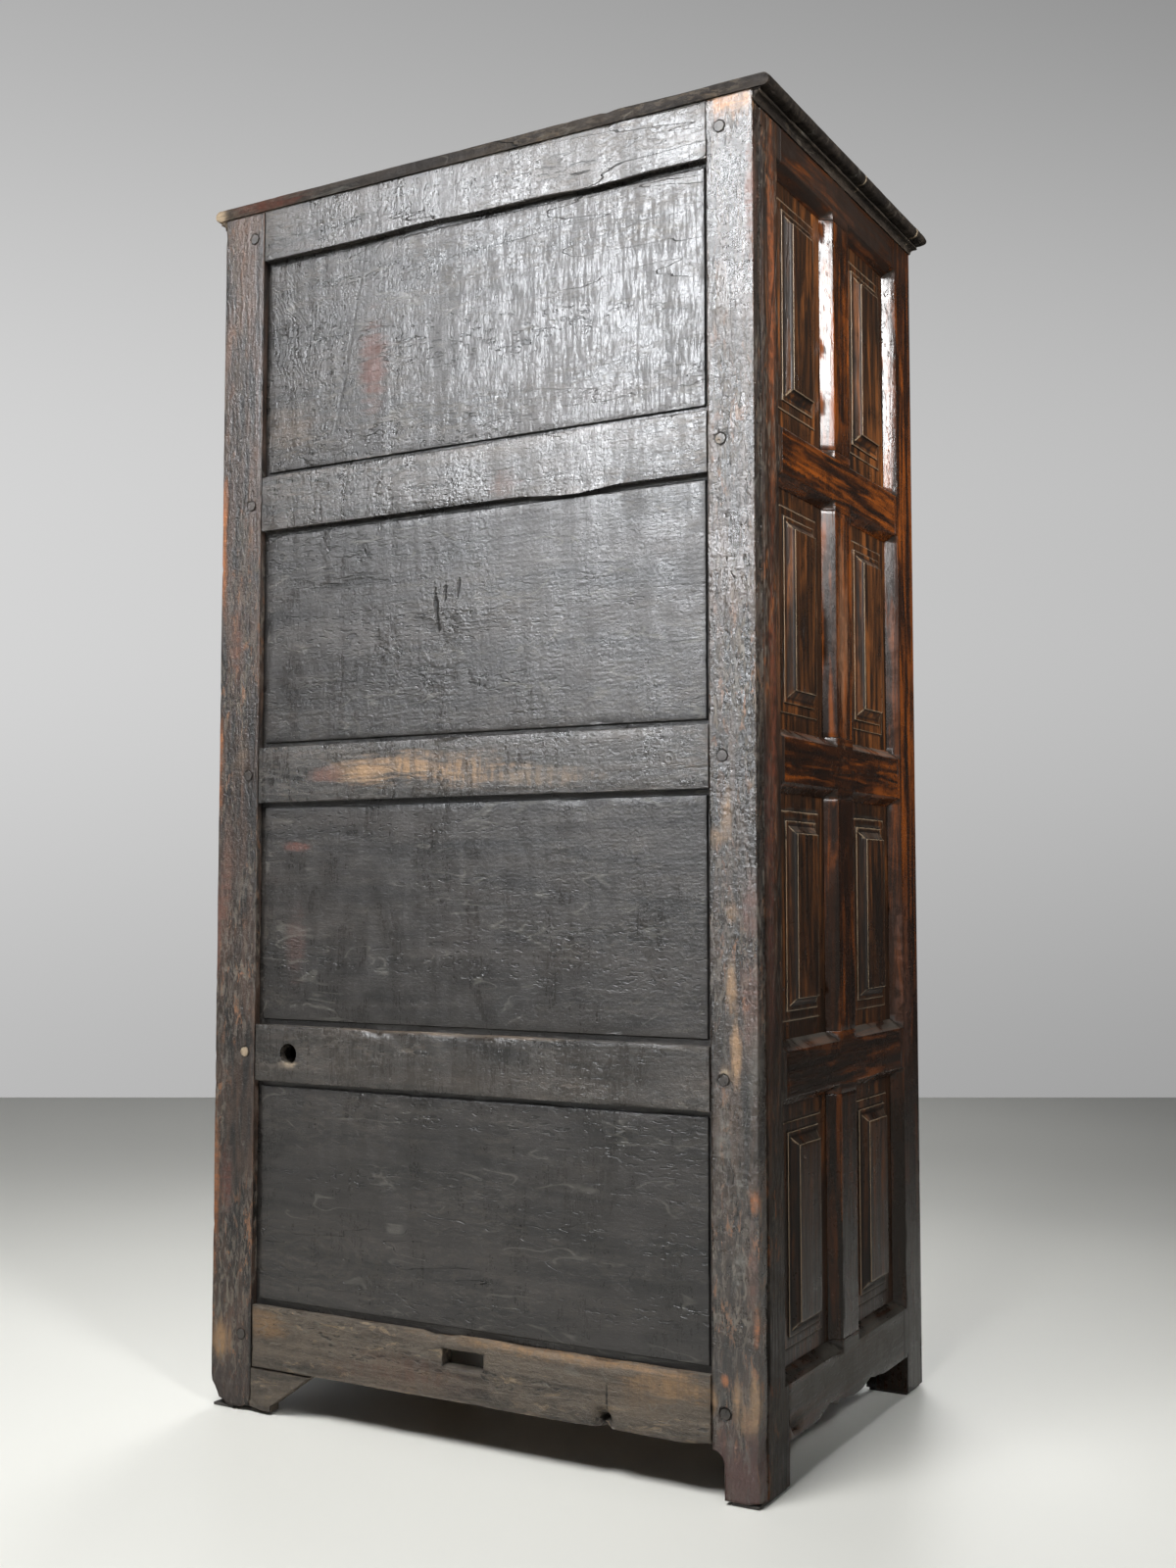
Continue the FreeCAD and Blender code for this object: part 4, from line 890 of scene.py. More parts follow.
class WornCopy:
    """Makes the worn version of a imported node: merged, rounded, divided and rubbed down."""

    MERGE = 0.01 * MM
    CUT_REACH = 0.02 * MM
    PLANE_SHIFT = 0.13
    FLAT = math.radians(0.4)
    HOLLOW = math.radians(25.0)
    SHARP = math.radians(38.0)
    BROAD_NOISE = 9.0
    SHORT_NOISE = 47.0
    NICK_NOISE = 31.0
    CHIP_NOISE = 90.0
    WANDER_NOISE = 14.0
    BITE_NOISE = 70.0
    CHIP_SHARE = 0.6
    NICK_FROM = 0.4
    LEDGE_SLOPE = 2.0
    LEDGE_FROM = 0.6
    SHORT_SHIFT = Vector((3.1, 0.7, 9.2))
    WANDER_SHIFT = Vector((7.7, 1.3, 4.1))

    def __init__(self, source: Piece, ageing: Ageing) -> None:
        """Keeps the node and how it is aged.

        Args:
            source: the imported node's object, which stays as it is.
            ageing: how age has changed its shape.
        """
        self.source = source
        self.ageing = ageing
        self.mesh = bmesh.new()

    def build(self) -> Piece:
        """Builds the worn copy.

        Returns:
            The new object, at the origin, with its place in its mesh.
        """
        self.mesh.from_mesh(self.source.data)
        bmesh.ops.remove_doubles(self.mesh, verts=self.mesh.verts, dist=self.MERGE)
        bmesh.ops.dissolve_limit(self.mesh, angle_limit=self.FLAT, verts=self.mesh.verts,
                                 edges=self.mesh.edges, use_dissolve_boundaries=False)
        arrises = self._round_arrises()
        for axis in range(3):
            self._divide(axis, self.ageing.cell[axis] * MM)
        self._rub_down(self._mark(arrises))
        return self._finish()

    def _round_arrises(self) -> bmesh.types.BMLayerItem:
        """Rounds the outer arrises.

        Returns:
            The face layer that marks the rounded strips.
        """
        layer = self.mesh.faces.layers.int.new("arris")
        least = math.radians(self.ageing.sharp_from)
        outer = [edge for edge in self.mesh.edges
                 if edge.is_manifold and edge.calc_face_angle_signed(0.0) > least]
        if self.ageing.arris > 0.0 and outer:
            made = bmesh.ops.bevel(self.mesh, geom=outer, offset=self.ageing.arris * MM,
                                   offset_type="OFFSET", segments=2, profile=0.5, affect="EDGES",
                                   clamp_overlap=True, material=-1)
            for face in made["faces"]:
                face[layer] = 1
        return layer

    def _divide(self, axis: int, spacing: float) -> None:
        """Cuts the mesh with evenly spaced planes.

        Args:
            axis: the axis that the planes are square to.
            spacing: the distance between planes, in metres.
        """
        ends = [vertex.co[axis] for vertex in self.mesh.verts]
        low, high = min(ends), max(ends)
        count = max(1, round((high - low) / spacing))
        normal = Vector((0.0, 0.0, 0.0))
        normal[axis] = 1.0
        waiting = set(self.mesh.faces)
        for index in range(1, count):
            place = low + (high - low) * (index + self.PLANE_SHIFT) / count
            crossed = []
            for face in list(waiting):
                reach = [vertex.co[axis] for vertex in face.verts]
                if max(reach) <= place:
                    waiting.discard(face)
                elif min(reach) < place:
                    crossed.append(face)
            if not crossed:
                continue
            geometry = set(crossed)
            for face in crossed:
                geometry.update(face.edges)
                geometry.update(face.verts)
            made = bmesh.ops.bisect_plane(self.mesh, geom=list(geometry), dist=self.CUT_REACH,
                                          plane_co=normal * place, plane_no=normal)
            waiting.difference_update(crossed)
            waiting.update(item for item in made["geom"] if isinstance(item, bmesh.types.BMFace))

    def _mark(self, arrises: bmesh.types.BMLayerItem) -> bmesh.types.BMLayerItem:
        """Writes where arrises, hollows and upper faces are, for the materials to read.

        Args:
            arrises: the face layer that marks the rounded strips.

        Returns:
            The vertex layer that marks the arrises.
        """
        edge_layer = self.mesh.verts.layers.float.new(EDGE_LAYER)
        hollow_layer = self.mesh.verts.layers.float.new(HOLLOW_LAYER)
        ledge_layer = self.mesh.verts.layers.float.new(LEDGE_LAYER)
        self.mesh.normal_update()
        for vertex in self.mesh.verts:
            level = self.LEDGE_SLOPE * vertex.normal.z - self.LEDGE_FROM
            vertex[ledge_layer] = min(1.0, max(0.0, level))
            strips = [face[arrises] for face in vertex.link_faces]
            if any(strips):
                vertex[edge_layer] = 1.0 if all(strips) else self.ageing.edge_spread
        for edge in self.mesh.edges:
            if edge.is_manifold and edge.calc_face_angle_signed(0.0) < -self.HOLLOW:
                for vertex in edge.verts:
                    vertex[hollow_layer] = 1.0
        return edge_layer

    def _rub_down(self, edge_layer: bmesh.types.BMLayerItem) -> None:
        """Moves the surface inwards by uneven amounts, more along the arrises and where wood has gone.

        Args:
            edge_layer: the vertex layer that marks the arrises.
        """
        ageing = self.ageing
        moves: list[tuple[bmesh.types.BMVert, Vector]] = []
        for vertex in self.mesh.verts:
            place = vertex.co
            broad = self._uneven(place * self.BROAD_NOISE)
            short = self._uneven(place * self.SHORT_NOISE + self.SHORT_SHIFT)
            depth = ageing.hollow * broad + ageing.ripple * short
            if vertex[edge_layer] > 0.0:
                bitten = noise.noise(place * self.NICK_NOISE)
                bitten += self.CHIP_SHARE * noise.noise(place * self.CHIP_NOISE)
                depth += ageing.nick * max(0.0, bitten - self.NICK_FROM)
                depth += ageing.wander * self._uneven(place * self.WANDER_NOISE + self.WANDER_SHIFT)
            move = vertex.normal * (-depth * MM)
            for bite in ageing.bites:
                away = place - millimetres(*bite.centre)
                reach = millimetres(*bite.reach)
                share = sum((away[i] / reach[i]) ** 2 for i in range(3))
                if share < 1.0:
                    uneven = 1.0 + bite.rough * noise.noise(place * self.BITE_NOISE)
                    move += millimetres(*bite.push) * (uneven * (1.0 - share) ** 2)
            moves.append((vertex, move))
        for vertex, move in moves:
            vertex.co += move

    @staticmethod
    def _uneven(place: Vector) -> float:
        """Noise from 0 to 1."""
        return 0.5 + 0.5 * noise.noise(place)

    def _finish(self) -> Piece:
        """Turns the worked mesh into an object.

        Returns:
            The new object.
        """
        for face in self.mesh.faces:
            face.smooth = True
        mesh = bpy.data.meshes.new(f"{self.source.name}_worn")
        bmesh.ops.triangulate(self.mesh, faces=[face for face in self.mesh.faces if len(face.verts) > 4])
        self.mesh.to_mesh(mesh)
        self.mesh.free()
        mesh.set_sharp_from_angle(angle=self.SHARP)
        return placed(mesh.name, mesh)


@dataclass(frozen=True)
class PieceFinish:
    """What a node gets: its finish, the way its grain runs, and how it has aged."""

    finish: Union[WoodFinish, IronFinish, FeltFinish]
    run: Run = Run.UP
    ageing: Ageing = Ageing()


class Workshop:
    """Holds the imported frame, makes each material once and dresses pieces."""

    def __init__(self, frame: dict) -> None:
        """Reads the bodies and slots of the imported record.
        """
        self.nodes = frame["nodes"]
        behaviour = frame["record"]["behaviour"]
        self.body_of = {node: body for body, nodes in behaviour["bodies"].items() for node in nodes}
        self.slot_of = {part["node"]: part["material_slot"] for part in frame["record"]["subparts"]}
        self.groups = EffectGroups()
        self.materials: dict[tuple[str, str], Material] = {}

    def material(self, finish: Union[WoodFinish, IronFinish, FeltFinish], run: Run) -> Material:
        """Gives the material of a finish, made on its first use.

        Args:
            finish: the finish.
            run: the way that the grain runs.

        Returns:
            The material.
        """
        key = (finish.name, run.name if isinstance(finish, WoodFinish) else "")
        if key not in self.materials:
            if isinstance(finish, WoodFinish):
                self.materials[key] = finish.material(self.groups, run)
            elif isinstance(finish, IronFinish):
                self.materials[key] = finish.material(self.groups)
            else:
                self.materials[key] = finish.material()
        return self.materials[key]

    def wear(self, node: str, piece: PieceFinish) -> Piece:
        """Replaces a node with its worn, finished copy.

        Args:
            node: the node's name.
            piece: its finish and ageing.

        Returns:
            The new piece.
        """
        made = WornCopy(self.nodes[node], piece.ageing).build()
        return self.dress(made, node, piece)

    def dress(self, made: Piece, node: str, piece: PieceFinish) -> Piece:
        """Gives a new piece its material and its body, and hides the node that it replaces.

        Args:
            made: the new piece.
            node: the node that it replaces.
            piece: its finish.

        Returns:
            The same piece.
        """
        made.data.materials.clear()
        made.data.materials.append(self.material(piece.finish, piece.run))
        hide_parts(node)
        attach(made, self.body_of[node])
        LOG.info("%s: %d faces", made.name, len(made.data.polygons))
        return made


ORANGE: Colour = (0.34, 0.125, 0.042, 1.0)
OCHRE: Colour = (0.29, 0.175, 0.088, 1.0)
PALE: Colour = (0.40, 0.31, 0.21, 1.0)
TAN: Colour = (0.15, 0.108, 0.072, 1.0)
RUST: Colour = (0.125, 0.055, 0.036, 1.0)
RED: Colour = (0.105, 0.040, 0.028, 1.0)
DUST: Colour = (0.15, 0.142, 0.122, 1.0)
WORN: Colour = (0.14, 0.118, 0.092, 1.0)
SOOT: Colour = (0.006, 0.0055, 0.005, 1.0)

BACK_FRAME = WoodFinish(
    "back_frame", deep=(0.013, 0.012, 0.011, 1.0), open=(0.052, 0.043, 0.036, 1.0),
    rubbed=(0.13, 0.098, 0.070, 1.0), dirt=SOOT, gloss=(0.22, 0.50), sheen_level=0.62, wear=0.5,
    ridge_depth=0.14, fibre_depth=0.36, tooth_depth=0.75, pit_depth=0.4, lump_depth=0.5, lump_scale=85.0,
    rub_depth=0.14, rub_share=0.16, stroke_share=0.12, flecked=0.3, scratch_share=0.2, tooling_depth=0.2,
    tooling_scale=8.0, check_width=0.004,
    patches=(
        Patch((150, 289, 841), (58, 20, 22), OCHRE, 0.95, 0.2),
        Patch((85, 289, 846), (62, 20, 22), OCHRE, 0.9, 0.6),
        Patch((0, 289, 838), (95, 20, 26), OCHRE, 0.75, 0.8),
        Patch((-110, 289, 824), (95, 20, 16), TAN, 0.8, 0.7),
        Patch((212, 289, 838), (32, 20, 13), RUST, 0.8, 0.4),
        Patch((-60, 289, 1196), (26, 20, 20), RUST, 0.5, 0.6),
        Patch((275, 289, 457), (15, 20, 7), PALE, 0.7, 0.4),
        Patch((20, 289, 508), (190, 20, 4), TAN, 0.9, 0.3),
    ),
    figures=(RingFigure((-288, 289, 839), (12, 20, 12), 2.0, 0.3, 0.12),))

BOTTOM_RAIL = replace(
    BACK_FRAME, name="bottom_rail", deep=(0.020, 0.016, 0.013, 1.0), open=(0.135, 0.106, 0.078, 1.0),
    rubbed=(0.26, 0.19, 0.12, 1.0), gloss=(0.46, 0.68), sheen_level=0.4, wear=0.6, scratch_share=0.4,
    worm=0.4, ridge_share=0.5, ridge_depth=0.5, tooth_depth=1.3, pit_depth=0.9, lump_depth=1.4,
    lump_scale=130.0, flecked=0.7, check_width=0.022, figures=(),
    patches=(
        Patch((-20, 289, 142), (330, 20, 3), PALE, 0.7, 0.3),
        Patch((306, 289, 120), (42, 20, 24), (0.20, 0.125, 0.068, 1.0), 0.85, 0.15),
        Patch((20, 289, 144), (60, 20, 10), OCHRE, 0.6, 0.4),
        Patch((-150, 289, 136), (190, 20, 10), OCHRE, 0.75, 0.4),
        Patch((-285, 289, 122), (75, 20, 26), OCHRE, 0.7, 0.45),
        Patch((-250, 289, 100), (60, 20, 26), TAN, 0.5, 0.5),
        Patch((90, 289, 84), (120, 20, 24), RUST, 0.35, 0.5),
        Patch((-198, 289, 70), (10, 30, 14), SOOT, 1.0, 0.0),
        Patch((-205, 289, 96), (2, 30, 20), SOOT, 0.9, 0.0),
    ))

NEAR_STILE = WoodFinish(
    "near_stile", deep=(0.009, 0.0075, 0.0062, 1.0), open=(0.075, 0.050, 0.036, 1.0),
    rubbed=(0.22, 0.108, 0.055, 1.0), dirt=SOOT, gloss=(0.17, 0.38), sheen_level=0.75, wear=0.55,
    streak_pitch=55.0, thin_from=0.66, thin_to=1.05, ridge_depth=0.4, fibre_depth=0.5, tooth_depth=1.0,
    pit_depth=0.7, lump_depth=1.3, lump_scale=120.0, rub_depth=0.12, rub_share=0.16, flecked=0.95,
    fleck_top=1.0, scratch_share=0.4, crackle_depth=0.1, crackle_scale=170.0, check_width=0.02, worm=0.14,
    patches=(
        Patch((-370, 289, 1612), (38, 30, 24), (0.34, 0.17, 0.075, 1.0), 0.9, 0.55),
        Patch((-396, 289, 1500), (7, 20, 90), RUST, 0.7, 0.6),
        Patch((-363, 289, 771), (9, 20, 34), OCHRE, 0.75, 0.5),
        Patch((-349, 289, 747), (10, 20, 14), OCHRE, 0.6, 0.5),
        Patch((-369, 289, 662), (8, 20, 14), OCHRE, 0.6, 0.5),
        Patch((-390, 289, 664), (14, 20, 44), RUST, 0.7, 0.5),
        Patch((-367, 289, 575), (9, 20, 36), OCHRE, 0.85, 0.4),
        Patch((-389, 289, 554), (16, 20, 76), RUST, 0.7, 0.5),
        Patch((-373, 289, 501), (10, 20, 44), OCHRE, 0.95, 0.25),
        Patch((-359, 289, 477), (9, 20, 11), PALE, 0.7, 0.6),
        Patch((-395, 289, 489), (9, 20, 62), DUST, 0.5, 0.5),
        Patch((-357, 289, 403), (11, 20, 36), DUST, 0.7, 0.85),
        Patch((-377, 289, 357), (10, 20, 28), DUST, 0.6, 0.8),
        Patch((-394, 289, 340), (8, 20, 17), ORANGE, 0.8, 0.4),
        Patch((-376, 289, 269), (11, 20, 46), DUST, 0.65, 0.8),
        Patch((-391, 289, 262), (8, 20, 54), RUST, 0.6, 0.5),
        Patch((-396, 289, 195), (5, 20, 30), ORANGE, 0.8, 0.6),
        Patch((-357, 289, 137), (6, 20, 8), ORANGE, 0.95, 0.2),
        Patch((-373, 289, 120), (8, 20, 36), OCHRE, 0.95, 0.35),
        Patch((-394, 289, 118), (8, 20, 38), OCHRE, 0.95, 0.35),
        Patch((-382, 289, 92), (15, 20, 19), OCHRE, 0.9, 0.45),
        Patch((-343, 289, 112), (5, 20, 20), OCHRE, 0.7, 0.4),
        Patch((-372, 289, 30), (60, 60, 66), (0.058, 0.020, 0.014, 1.0), 1.0, 0.1),
    ))

FAR_STILE = replace(
    NEAR_STILE, name="far_stile", open=(0.095, 0.054, 0.036, 1.0), gloss=(0.30, 0.52), sheen_level=0.5,
    patches=(
        Patch((386, 289, 92), (22, 20, 30), OCHRE, 1.0, 0.2),
        Patch((378, 289, 300), (14, 20, 50), RED, 0.8, 0.5),
        Patch((370, 289, 1012), (15, 20, 60), RUST, 0.6, 0.6),
        Patch((360, 289, 870), (14, 20, 40), TAN, 0.5, 0.7),
        Patch((385, 289, 700), (14, 20, 90), RUST, 0.6, 0.6),
        Patch((399, 284, 1160), (12, 24, 110), ORANGE, 1.0, 0.25),
        Patch((399, 284, 860), (11, 24, 80), ORANGE, 0.8, 0.4),
        Patch((399, 284, 640), (11, 24, 120), RUST, 0.9, 0.4),
        Patch((399, 284, 300), (11, 24, 120), ORANGE, 0.7, 0.5),
        Patch((370, 289, 30), (50, 40, 30), (0.040, 0.026, 0.021, 1.0), 0.7, 0.2),
    ))

BACK_PANEL = WoodFinish(
    "back_panel", deep=(0.012, 0.0115, 0.011, 1.0), open=(0.040, 0.035, 0.032, 1.0),
    rubbed=(0.11, 0.092, 0.068, 1.0), dirt=SOOT, gloss=(0.25, 0.52), wear=0.35, ridge_depth=0.10,
    fibre_depth=0.40, tooth_depth=0.55, pit_depth=0.45, lump_depth=0.25, rub_depth=0.10, rub_share=0.11,
    stroke_share=0.06, flecked=0.12, scratch_share=0.35, tooling_depth=0.25, tooling_scale=11.0,
    check_width=0.0025,
    patches=(
        Patch((150, 281, 1382), (26, 20, 70), RED, 0.7, 0.2),
        Patch((290, 281, 1310), (50, 20, 40), OCHRE, 0.12, 0.3),
        Patch((270, 281, 745), (24, 20, 8), RED, 0.9, 0.4),
        Patch((270, 281, 610), (20, 20, 60), RED, 0.35, 0.4),
        Patch((193, 281, 1394), (4, 20, 170), SOOT, 0.4, 0.3, 11.4, 0.3),
        Patch((47, 281, 1044), (4, 20, 32), SOOT, 1.0, 0.0, -6.0, 3.0),
        Patch((34, 281, 1066), (3, 20, 13), SOOT, 0.8, 0.0, 4.0, 2.0),
        Patch((13, 281, 1072), (2.6, 20, 14), SOOT, 0.7, 0.0, 8.0, 2.0),
        Patch((66, 281, 1029), (50, 20, 13), SOOT, 0.35, 0.3, 36.0, 0.6),
        Patch((0, 281, 1012), (55, 20, 11), SOOT, 0.3, 0.3, -12.0, 0.5),
        Patch((180, 281, 1092), (60, 20, 10), SOOT, 0.9, 0.5, 0.0, 1.5),
        Patch((250, 281, 1096), (50, 20, 8), SOOT, 0.6, 0.7, 8.0, 1.0),
        Patch((150, 281, 930), (160, 20, 40), SOOT, 0.3, 0.8, 0.0, 0.3),
    ),
    figures=(
        RingFigure((250, 281, 215), (190, 40, 70), 7.0, 0.15, 0.09),
        RingFigure((400, 281, 1400), (220, 40, 230), 26.0, 0.14, 0.03),
        RingFigure((34, 281, 1010), (70, 40, 80), 3.0, 0.15, 0.02),
    ))

WIPED_PANEL = replace(
    BACK_PANEL, name="wiped_panel", stroke_share=0.36, rub_depth=0.05, rub_share=0.2, flecked=0.2)

SIDE_FRAME = WoodFinish(
    "side_frame", deep=(0.010, 0.005, 0.003, 1.0), open=(0.165, 0.042, 0.0055, 1.0),
    rubbed=(0.30, 0.10, 0.028, 1.0), dirt=(0.007, 0.005, 0.003, 1.0), gloss=(0.18, 0.34),
    sheen_level=0.25, wear=0.4, streak_pitch=75.0, streak_draw=0.07, thin_from=0.72, thin_to=0.95,
    ridge_share=0.12, ridge_depth=0.10, fibre_depth=0.14, check_width=0.004, worm=0.04, low_darkening=0.75,
    dust=0.4,
    patches=(
        Patch((-400, 10, 92), (30, 330, 42), (0.060, 0.053, 0.044, 1.0), 0.8, 0.2),
        Patch((400, 10, 92), (30, 330, 42), (0.060, 0.053, 0.044, 1.0), 0.8, 0.2),
        Patch((-400, 0, 1582), (30, 340, 52), (0.017, 0.011, 0.008, 1.0), 0.85, 0.15),
        Patch((-400, 250, 700), (30, 16, 260), (0.070, 0.026, 0.018, 1.0), 0.7, 0.6),
        Patch((-400, -215, 560), (30, 30, 160), RUST, 0.4, 0.7),
        Patch((-400, 11, 1010), (30, 22, 150), (0.22, 0.105, 0.055, 1.0), 0.7, 0.4),
    ))

SIDE_STILE = replace(
    SIDE_FRAME, name="side_stile", deep=(0.011, 0.007, 0.005, 1.0), open=(0.085, 0.034, 0.014, 1.0),
    patches=SIDE_FRAME.patches + (
        Patch((-400, 236, 1380), (30, 13, 260), (0.20, 0.060, 0.020, 1.0), 0.8, 0.6),
        Patch((-400, 240, 900), (30, 13, 240), (0.12, 0.034, 0.016, 1.0), 0.7, 0.7)),
    gloss=(0.40, 0.60), wear=0.35, thin_from=0.76, ridge_share=0.3, ridge_depth=0.5, fibre_depth=0.4,
    flecked=0.4, check_width=0.02)

# The pale rubbed arrises of these panels are partly real wear and partly a painted highlight standing for
# glints on the moulding edges.
SIDE_PANEL = WoodFinish(
    "side_panel", deep=(0.012, 0.0075, 0.005, 1.0), open=(0.165, 0.056, 0.015, 1.0),
    rubbed=(0.23, 0.17, 0.11, 1.0), dirt=(0.006, 0.004, 0.003, 1.0), gloss=(0.24, 0.42), sheen_level=0.22,
    wear=0.9, streak_pitch=60.0, streak_draw=0.07, thin_from=0.74, thin_to=1.0, ridge_share=0.2,
    ridge_depth=0.15, fibre_depth=0.2, check_width=0.003, low_darkening=0.35, dust=0.4)

TOP_WOOD = WoodFinish(
    "top", deep=(0.010, 0.008, 0.007, 1.0), open=(0.042, 0.032, 0.024, 1.0),
    rubbed=(0.11, 0.075, 0.045, 1.0), dirt=SOOT, gloss=(0.58, 0.78), sheen_level=0.12, wear=0.6,
    fibre_depth=0.4, tooth_depth=0.9, lump_depth=1.6, lump_scale=110.0, rub_depth=0.2, rub_share=0.16,
    flecked=0.3, scratch_share=0.3, tooling_depth=0.2, worm=0.12, dust=0.45,
    patches=(
        Patch((-422, 0, 1620), (22, 460, 34), (0.009, 0.007, 0.0055, 1.0), 0.95, 0.45),
        Patch((413, 289, 1630), (24, 50, 22), PALE, 1.0, 0.0),
        Patch((330, 289, 1630), (90, 16, 14), RED, 0.7, 0.3),
        Patch((-420, -35, 1629), (24, 2.5, 24), PALE, 0.9, 0.1),
        Patch((-420, -244, 1629), (24, 2.5, 24), PALE, 0.9, 0.1),
    ))

INNER_WOOD = WoodFinish(
    "inner", deep=(0.085, 0.048, 0.024, 1.0), open=(0.20, 0.125, 0.066, 1.0),
    rubbed=(0.27, 0.18, 0.10, 1.0), dirt=(0.030, 0.018, 0.010, 1.0), gloss=(0.50, 0.68), wear=0.6,
    fibre_depth=0.16, tooling_depth=0.15)

TURNED_WOOD = WoodFinish(
    "turned", deep=(0.024, 0.010, 0.006, 1.0), open=(0.10, 0.036, 0.014, 1.0),
    rubbed=(0.26, 0.10, 0.034, 1.0), dirt=(0.010, 0.006, 0.004, 1.0), gloss=(0.20, 0.36), wear=0.9)

PEG_WOOD = WoodFinish(
    "peg", deep=(0.018, 0.015, 0.013, 1.0), open=(0.060, 0.049, 0.040, 1.0),
    rubbed=(0.11, 0.080, 0.056, 1.0), dirt=SOOT, gloss=(0.34, 0.55), wear=0.4, fibre_depth=0.3,
    patches=(Patch((349, 289, 471), (10, 20, 10), PALE, 0.9, 0.1),
             Patch((-349, 289, 1211), (10, 20, 10), PALE, 0.6, 0.3)))

IRON = IronFinish()
FELT = FeltFinish()


@dataclass
class SubAssembly:
    """A group of pieces that are made and dressed together."""

    shop: Workshop
    pieces: list[Piece] = field(default_factory=list)

    def finishes(self) -> dict[str, PieceFinish]:
        """What each node of the group gets.

        Returns:
            The finish of each node, by its name.
        """
        raise NotImplementedError

    def build(self) -> None:
        """Makes and dresses every piece of the group."""
        for node, piece in self.finishes().items():
            self.pieces.append(self.shop.wear(node, piece))


@dataclass
class BackFrame(SubAssembly):
    """The framed back: stiles to the floor, rails, flat fielded panels and a bracket at one foot."""

    rail_cell: Triple = (10.0, 12.0, 8.0)
    stile_cell: Triple = (8.0, 12.0, 9.0)
    panel_cell: Triple = (7.0, 12.0, 7.0)
    bottom_rail_cell: Triple = (6.0, 12.0, 6.0)
    near_foot: tuple[Bite, ...] = (
        Bite((-400, 289, 66), (16, 40, 46), (4, 0, 0), 0.8),
        Bite((-400, 289, 4), (14, 14, 12), (3, -3, 3), 0.8),
    )
    far_foot: tuple[Bite, ...] = (
        Bite((400, 289, 4), (30, 40, 34), (-10, -3, 7), 0.4),
        Bite((332, 289, 4), (20, 30, 16), (4, -2, 3), 0.6),
    )
    rail_edges: tuple[Bite, ...] = (
        Bite((-152, 289, 1173), (76, 20, 18), (0, 0, -5), 0.2),
        Bite((60, 289, 1549), (90, 20, 16), (0, -1, 3), 0.3),
        Bite((-190, 289, 1549), (80, 20, 16), (0, 0, -3), 0.3),
        Bite((120, 289, 509), (60, 16, 10), (0, -3, -4), 0.9),
        Bite((-20, 289, 509), (80, 16, 9), (0, -3, -3), 0.9),
    )
    bottom_rail_edges: tuple[Bite, ...] = (
        Bite((-198, 289, 70), (15, 30, 17), (0, -20, 0), 1.2),
        Bite((-203, 289, 58), (9, 30, 14), (0, 0, 8), 1.0),
        Bite((30, 289, 141), (34, 20, 12), (0, -4, -6), 0.8),
        Bite((-170, 289, 141), (160, 18, 10), (0, -4, -3), 1.0),
        Bite((-330, 289, 58), (30, 24, 12), (0, -3, 3), 0.8),
    )

    def finishes(self) -> dict[str, PieceFinish]:
        """What each node of the back gets.

        Returns:
            The finish of each node, by its name.
        """
        near = Ageing(arris=2.4, cell=self.stile_cell, hollow=1.1, ripple=0.5, nick=3.0, wander=0.8,
                      bites=self.near_foot)
        far = replace(near, bites=self.far_foot)
        rail = Ageing(arris=1.8, cell=self.rail_cell, hollow=0.9, ripple=0.35, nick=2.2, wander=1.6,
                      bites=self.rail_edges)
        worn_rail = replace(rail, cell=self.bottom_rail_cell, wander=2.4, bites=self.bottom_rail_edges)
        bracket = replace(worn_rail, arris=0.6, nick=1.2, wander=0.3, bites=self.far_foot)
        panel = Ageing(arris=1.4, cell=self.panel_cell, hollow=0.9, ripple=0.45, nick=2.4, wander=1.0)
        made = {"back_left_stile": PieceFinish(NEAR_STILE, Run.UP, near),
                "back_right_stile": PieceFinish(FAR_STILE, Run.UP, far),
                "back_bottom_rail": PieceFinish(BOTTOM_RAIL, Run.ACROSS, worn_rail),
                "foot_bracket": PieceFinish(BOTTOM_RAIL, Run.ACROSS, bracket)}
        for level in ("lower", "middle", "upper", "top"):
            made[f"back_{level}_rail"] = PieceFinish(BACK_FRAME, Run.ACROSS, rail)
        for level in ("bottom", "lower", "middle"):
            made[f"back_{level}_panel"] = PieceFinish(BACK_PANEL, Run.ACROSS, panel)
        made["back_upper_panel"] = PieceFinish(WIPED_PANEL, Run.ACROSS, panel)
        return made


@dataclass
class SideFrames(SubAssembly):
    """The two framed sides with their raised panels and corner posts."""

    stile_cell: Triple = (12.0, 7.0, 9.0)
    rail_cell: Triple = (12.0, 9.0, 7.0)
    panel_cell: Triple = (14.0, 5.0, 6.0)
    rail_edges: tuple[Bite, ...] = (
        Bite((-400, 60, 53), (20, 70, 12), (3, 0, 7), 1.0),
        Bite((-400, -70, 53), (20, 50, 10), (2, 0, 5), 1.0),
        Bite((-400, 188, 70), (20, 16, 14), (10, 0, 0), 1.0),
    )

    def finishes(self) -> dict[str, PieceFinish]:
        """What each node of the sides gets.

        Returns:
            The finish of each node, by its name.
        """
        stile = Ageing(arris=1.2, cell=self.stile_cell, hollow=0.35, ripple=0.05, nick=1.6)
        rail = replace(stile, cell=self.rail_cell, bites=self.rail_edges)
        panel = Ageing(arris=0.7, cell=self.panel_cell, hollow=0.2, ripple=0.06, nick=0.4,
                       edge_spread=0.8)
        made = {}
        for side in ("left", "right"):
            made[f"{side}_back_stile"] = PieceFinish(SIDE_STILE, Run.UP, stile)
            made[f"{side}_front_post"] = PieceFinish(SIDE_FRAME, Run.UP, stile)
            made[f"{side}_muntins"] = PieceFinish(SIDE_FRAME, Run.UP, stile)
            made[f"{side}_rails"] = PieceFinish(SIDE_FRAME, Run.DEEP, rail)
            made[f"{side}_panels"] = PieceFinish(SIDE_PANEL, Run.UP, panel)
        return made


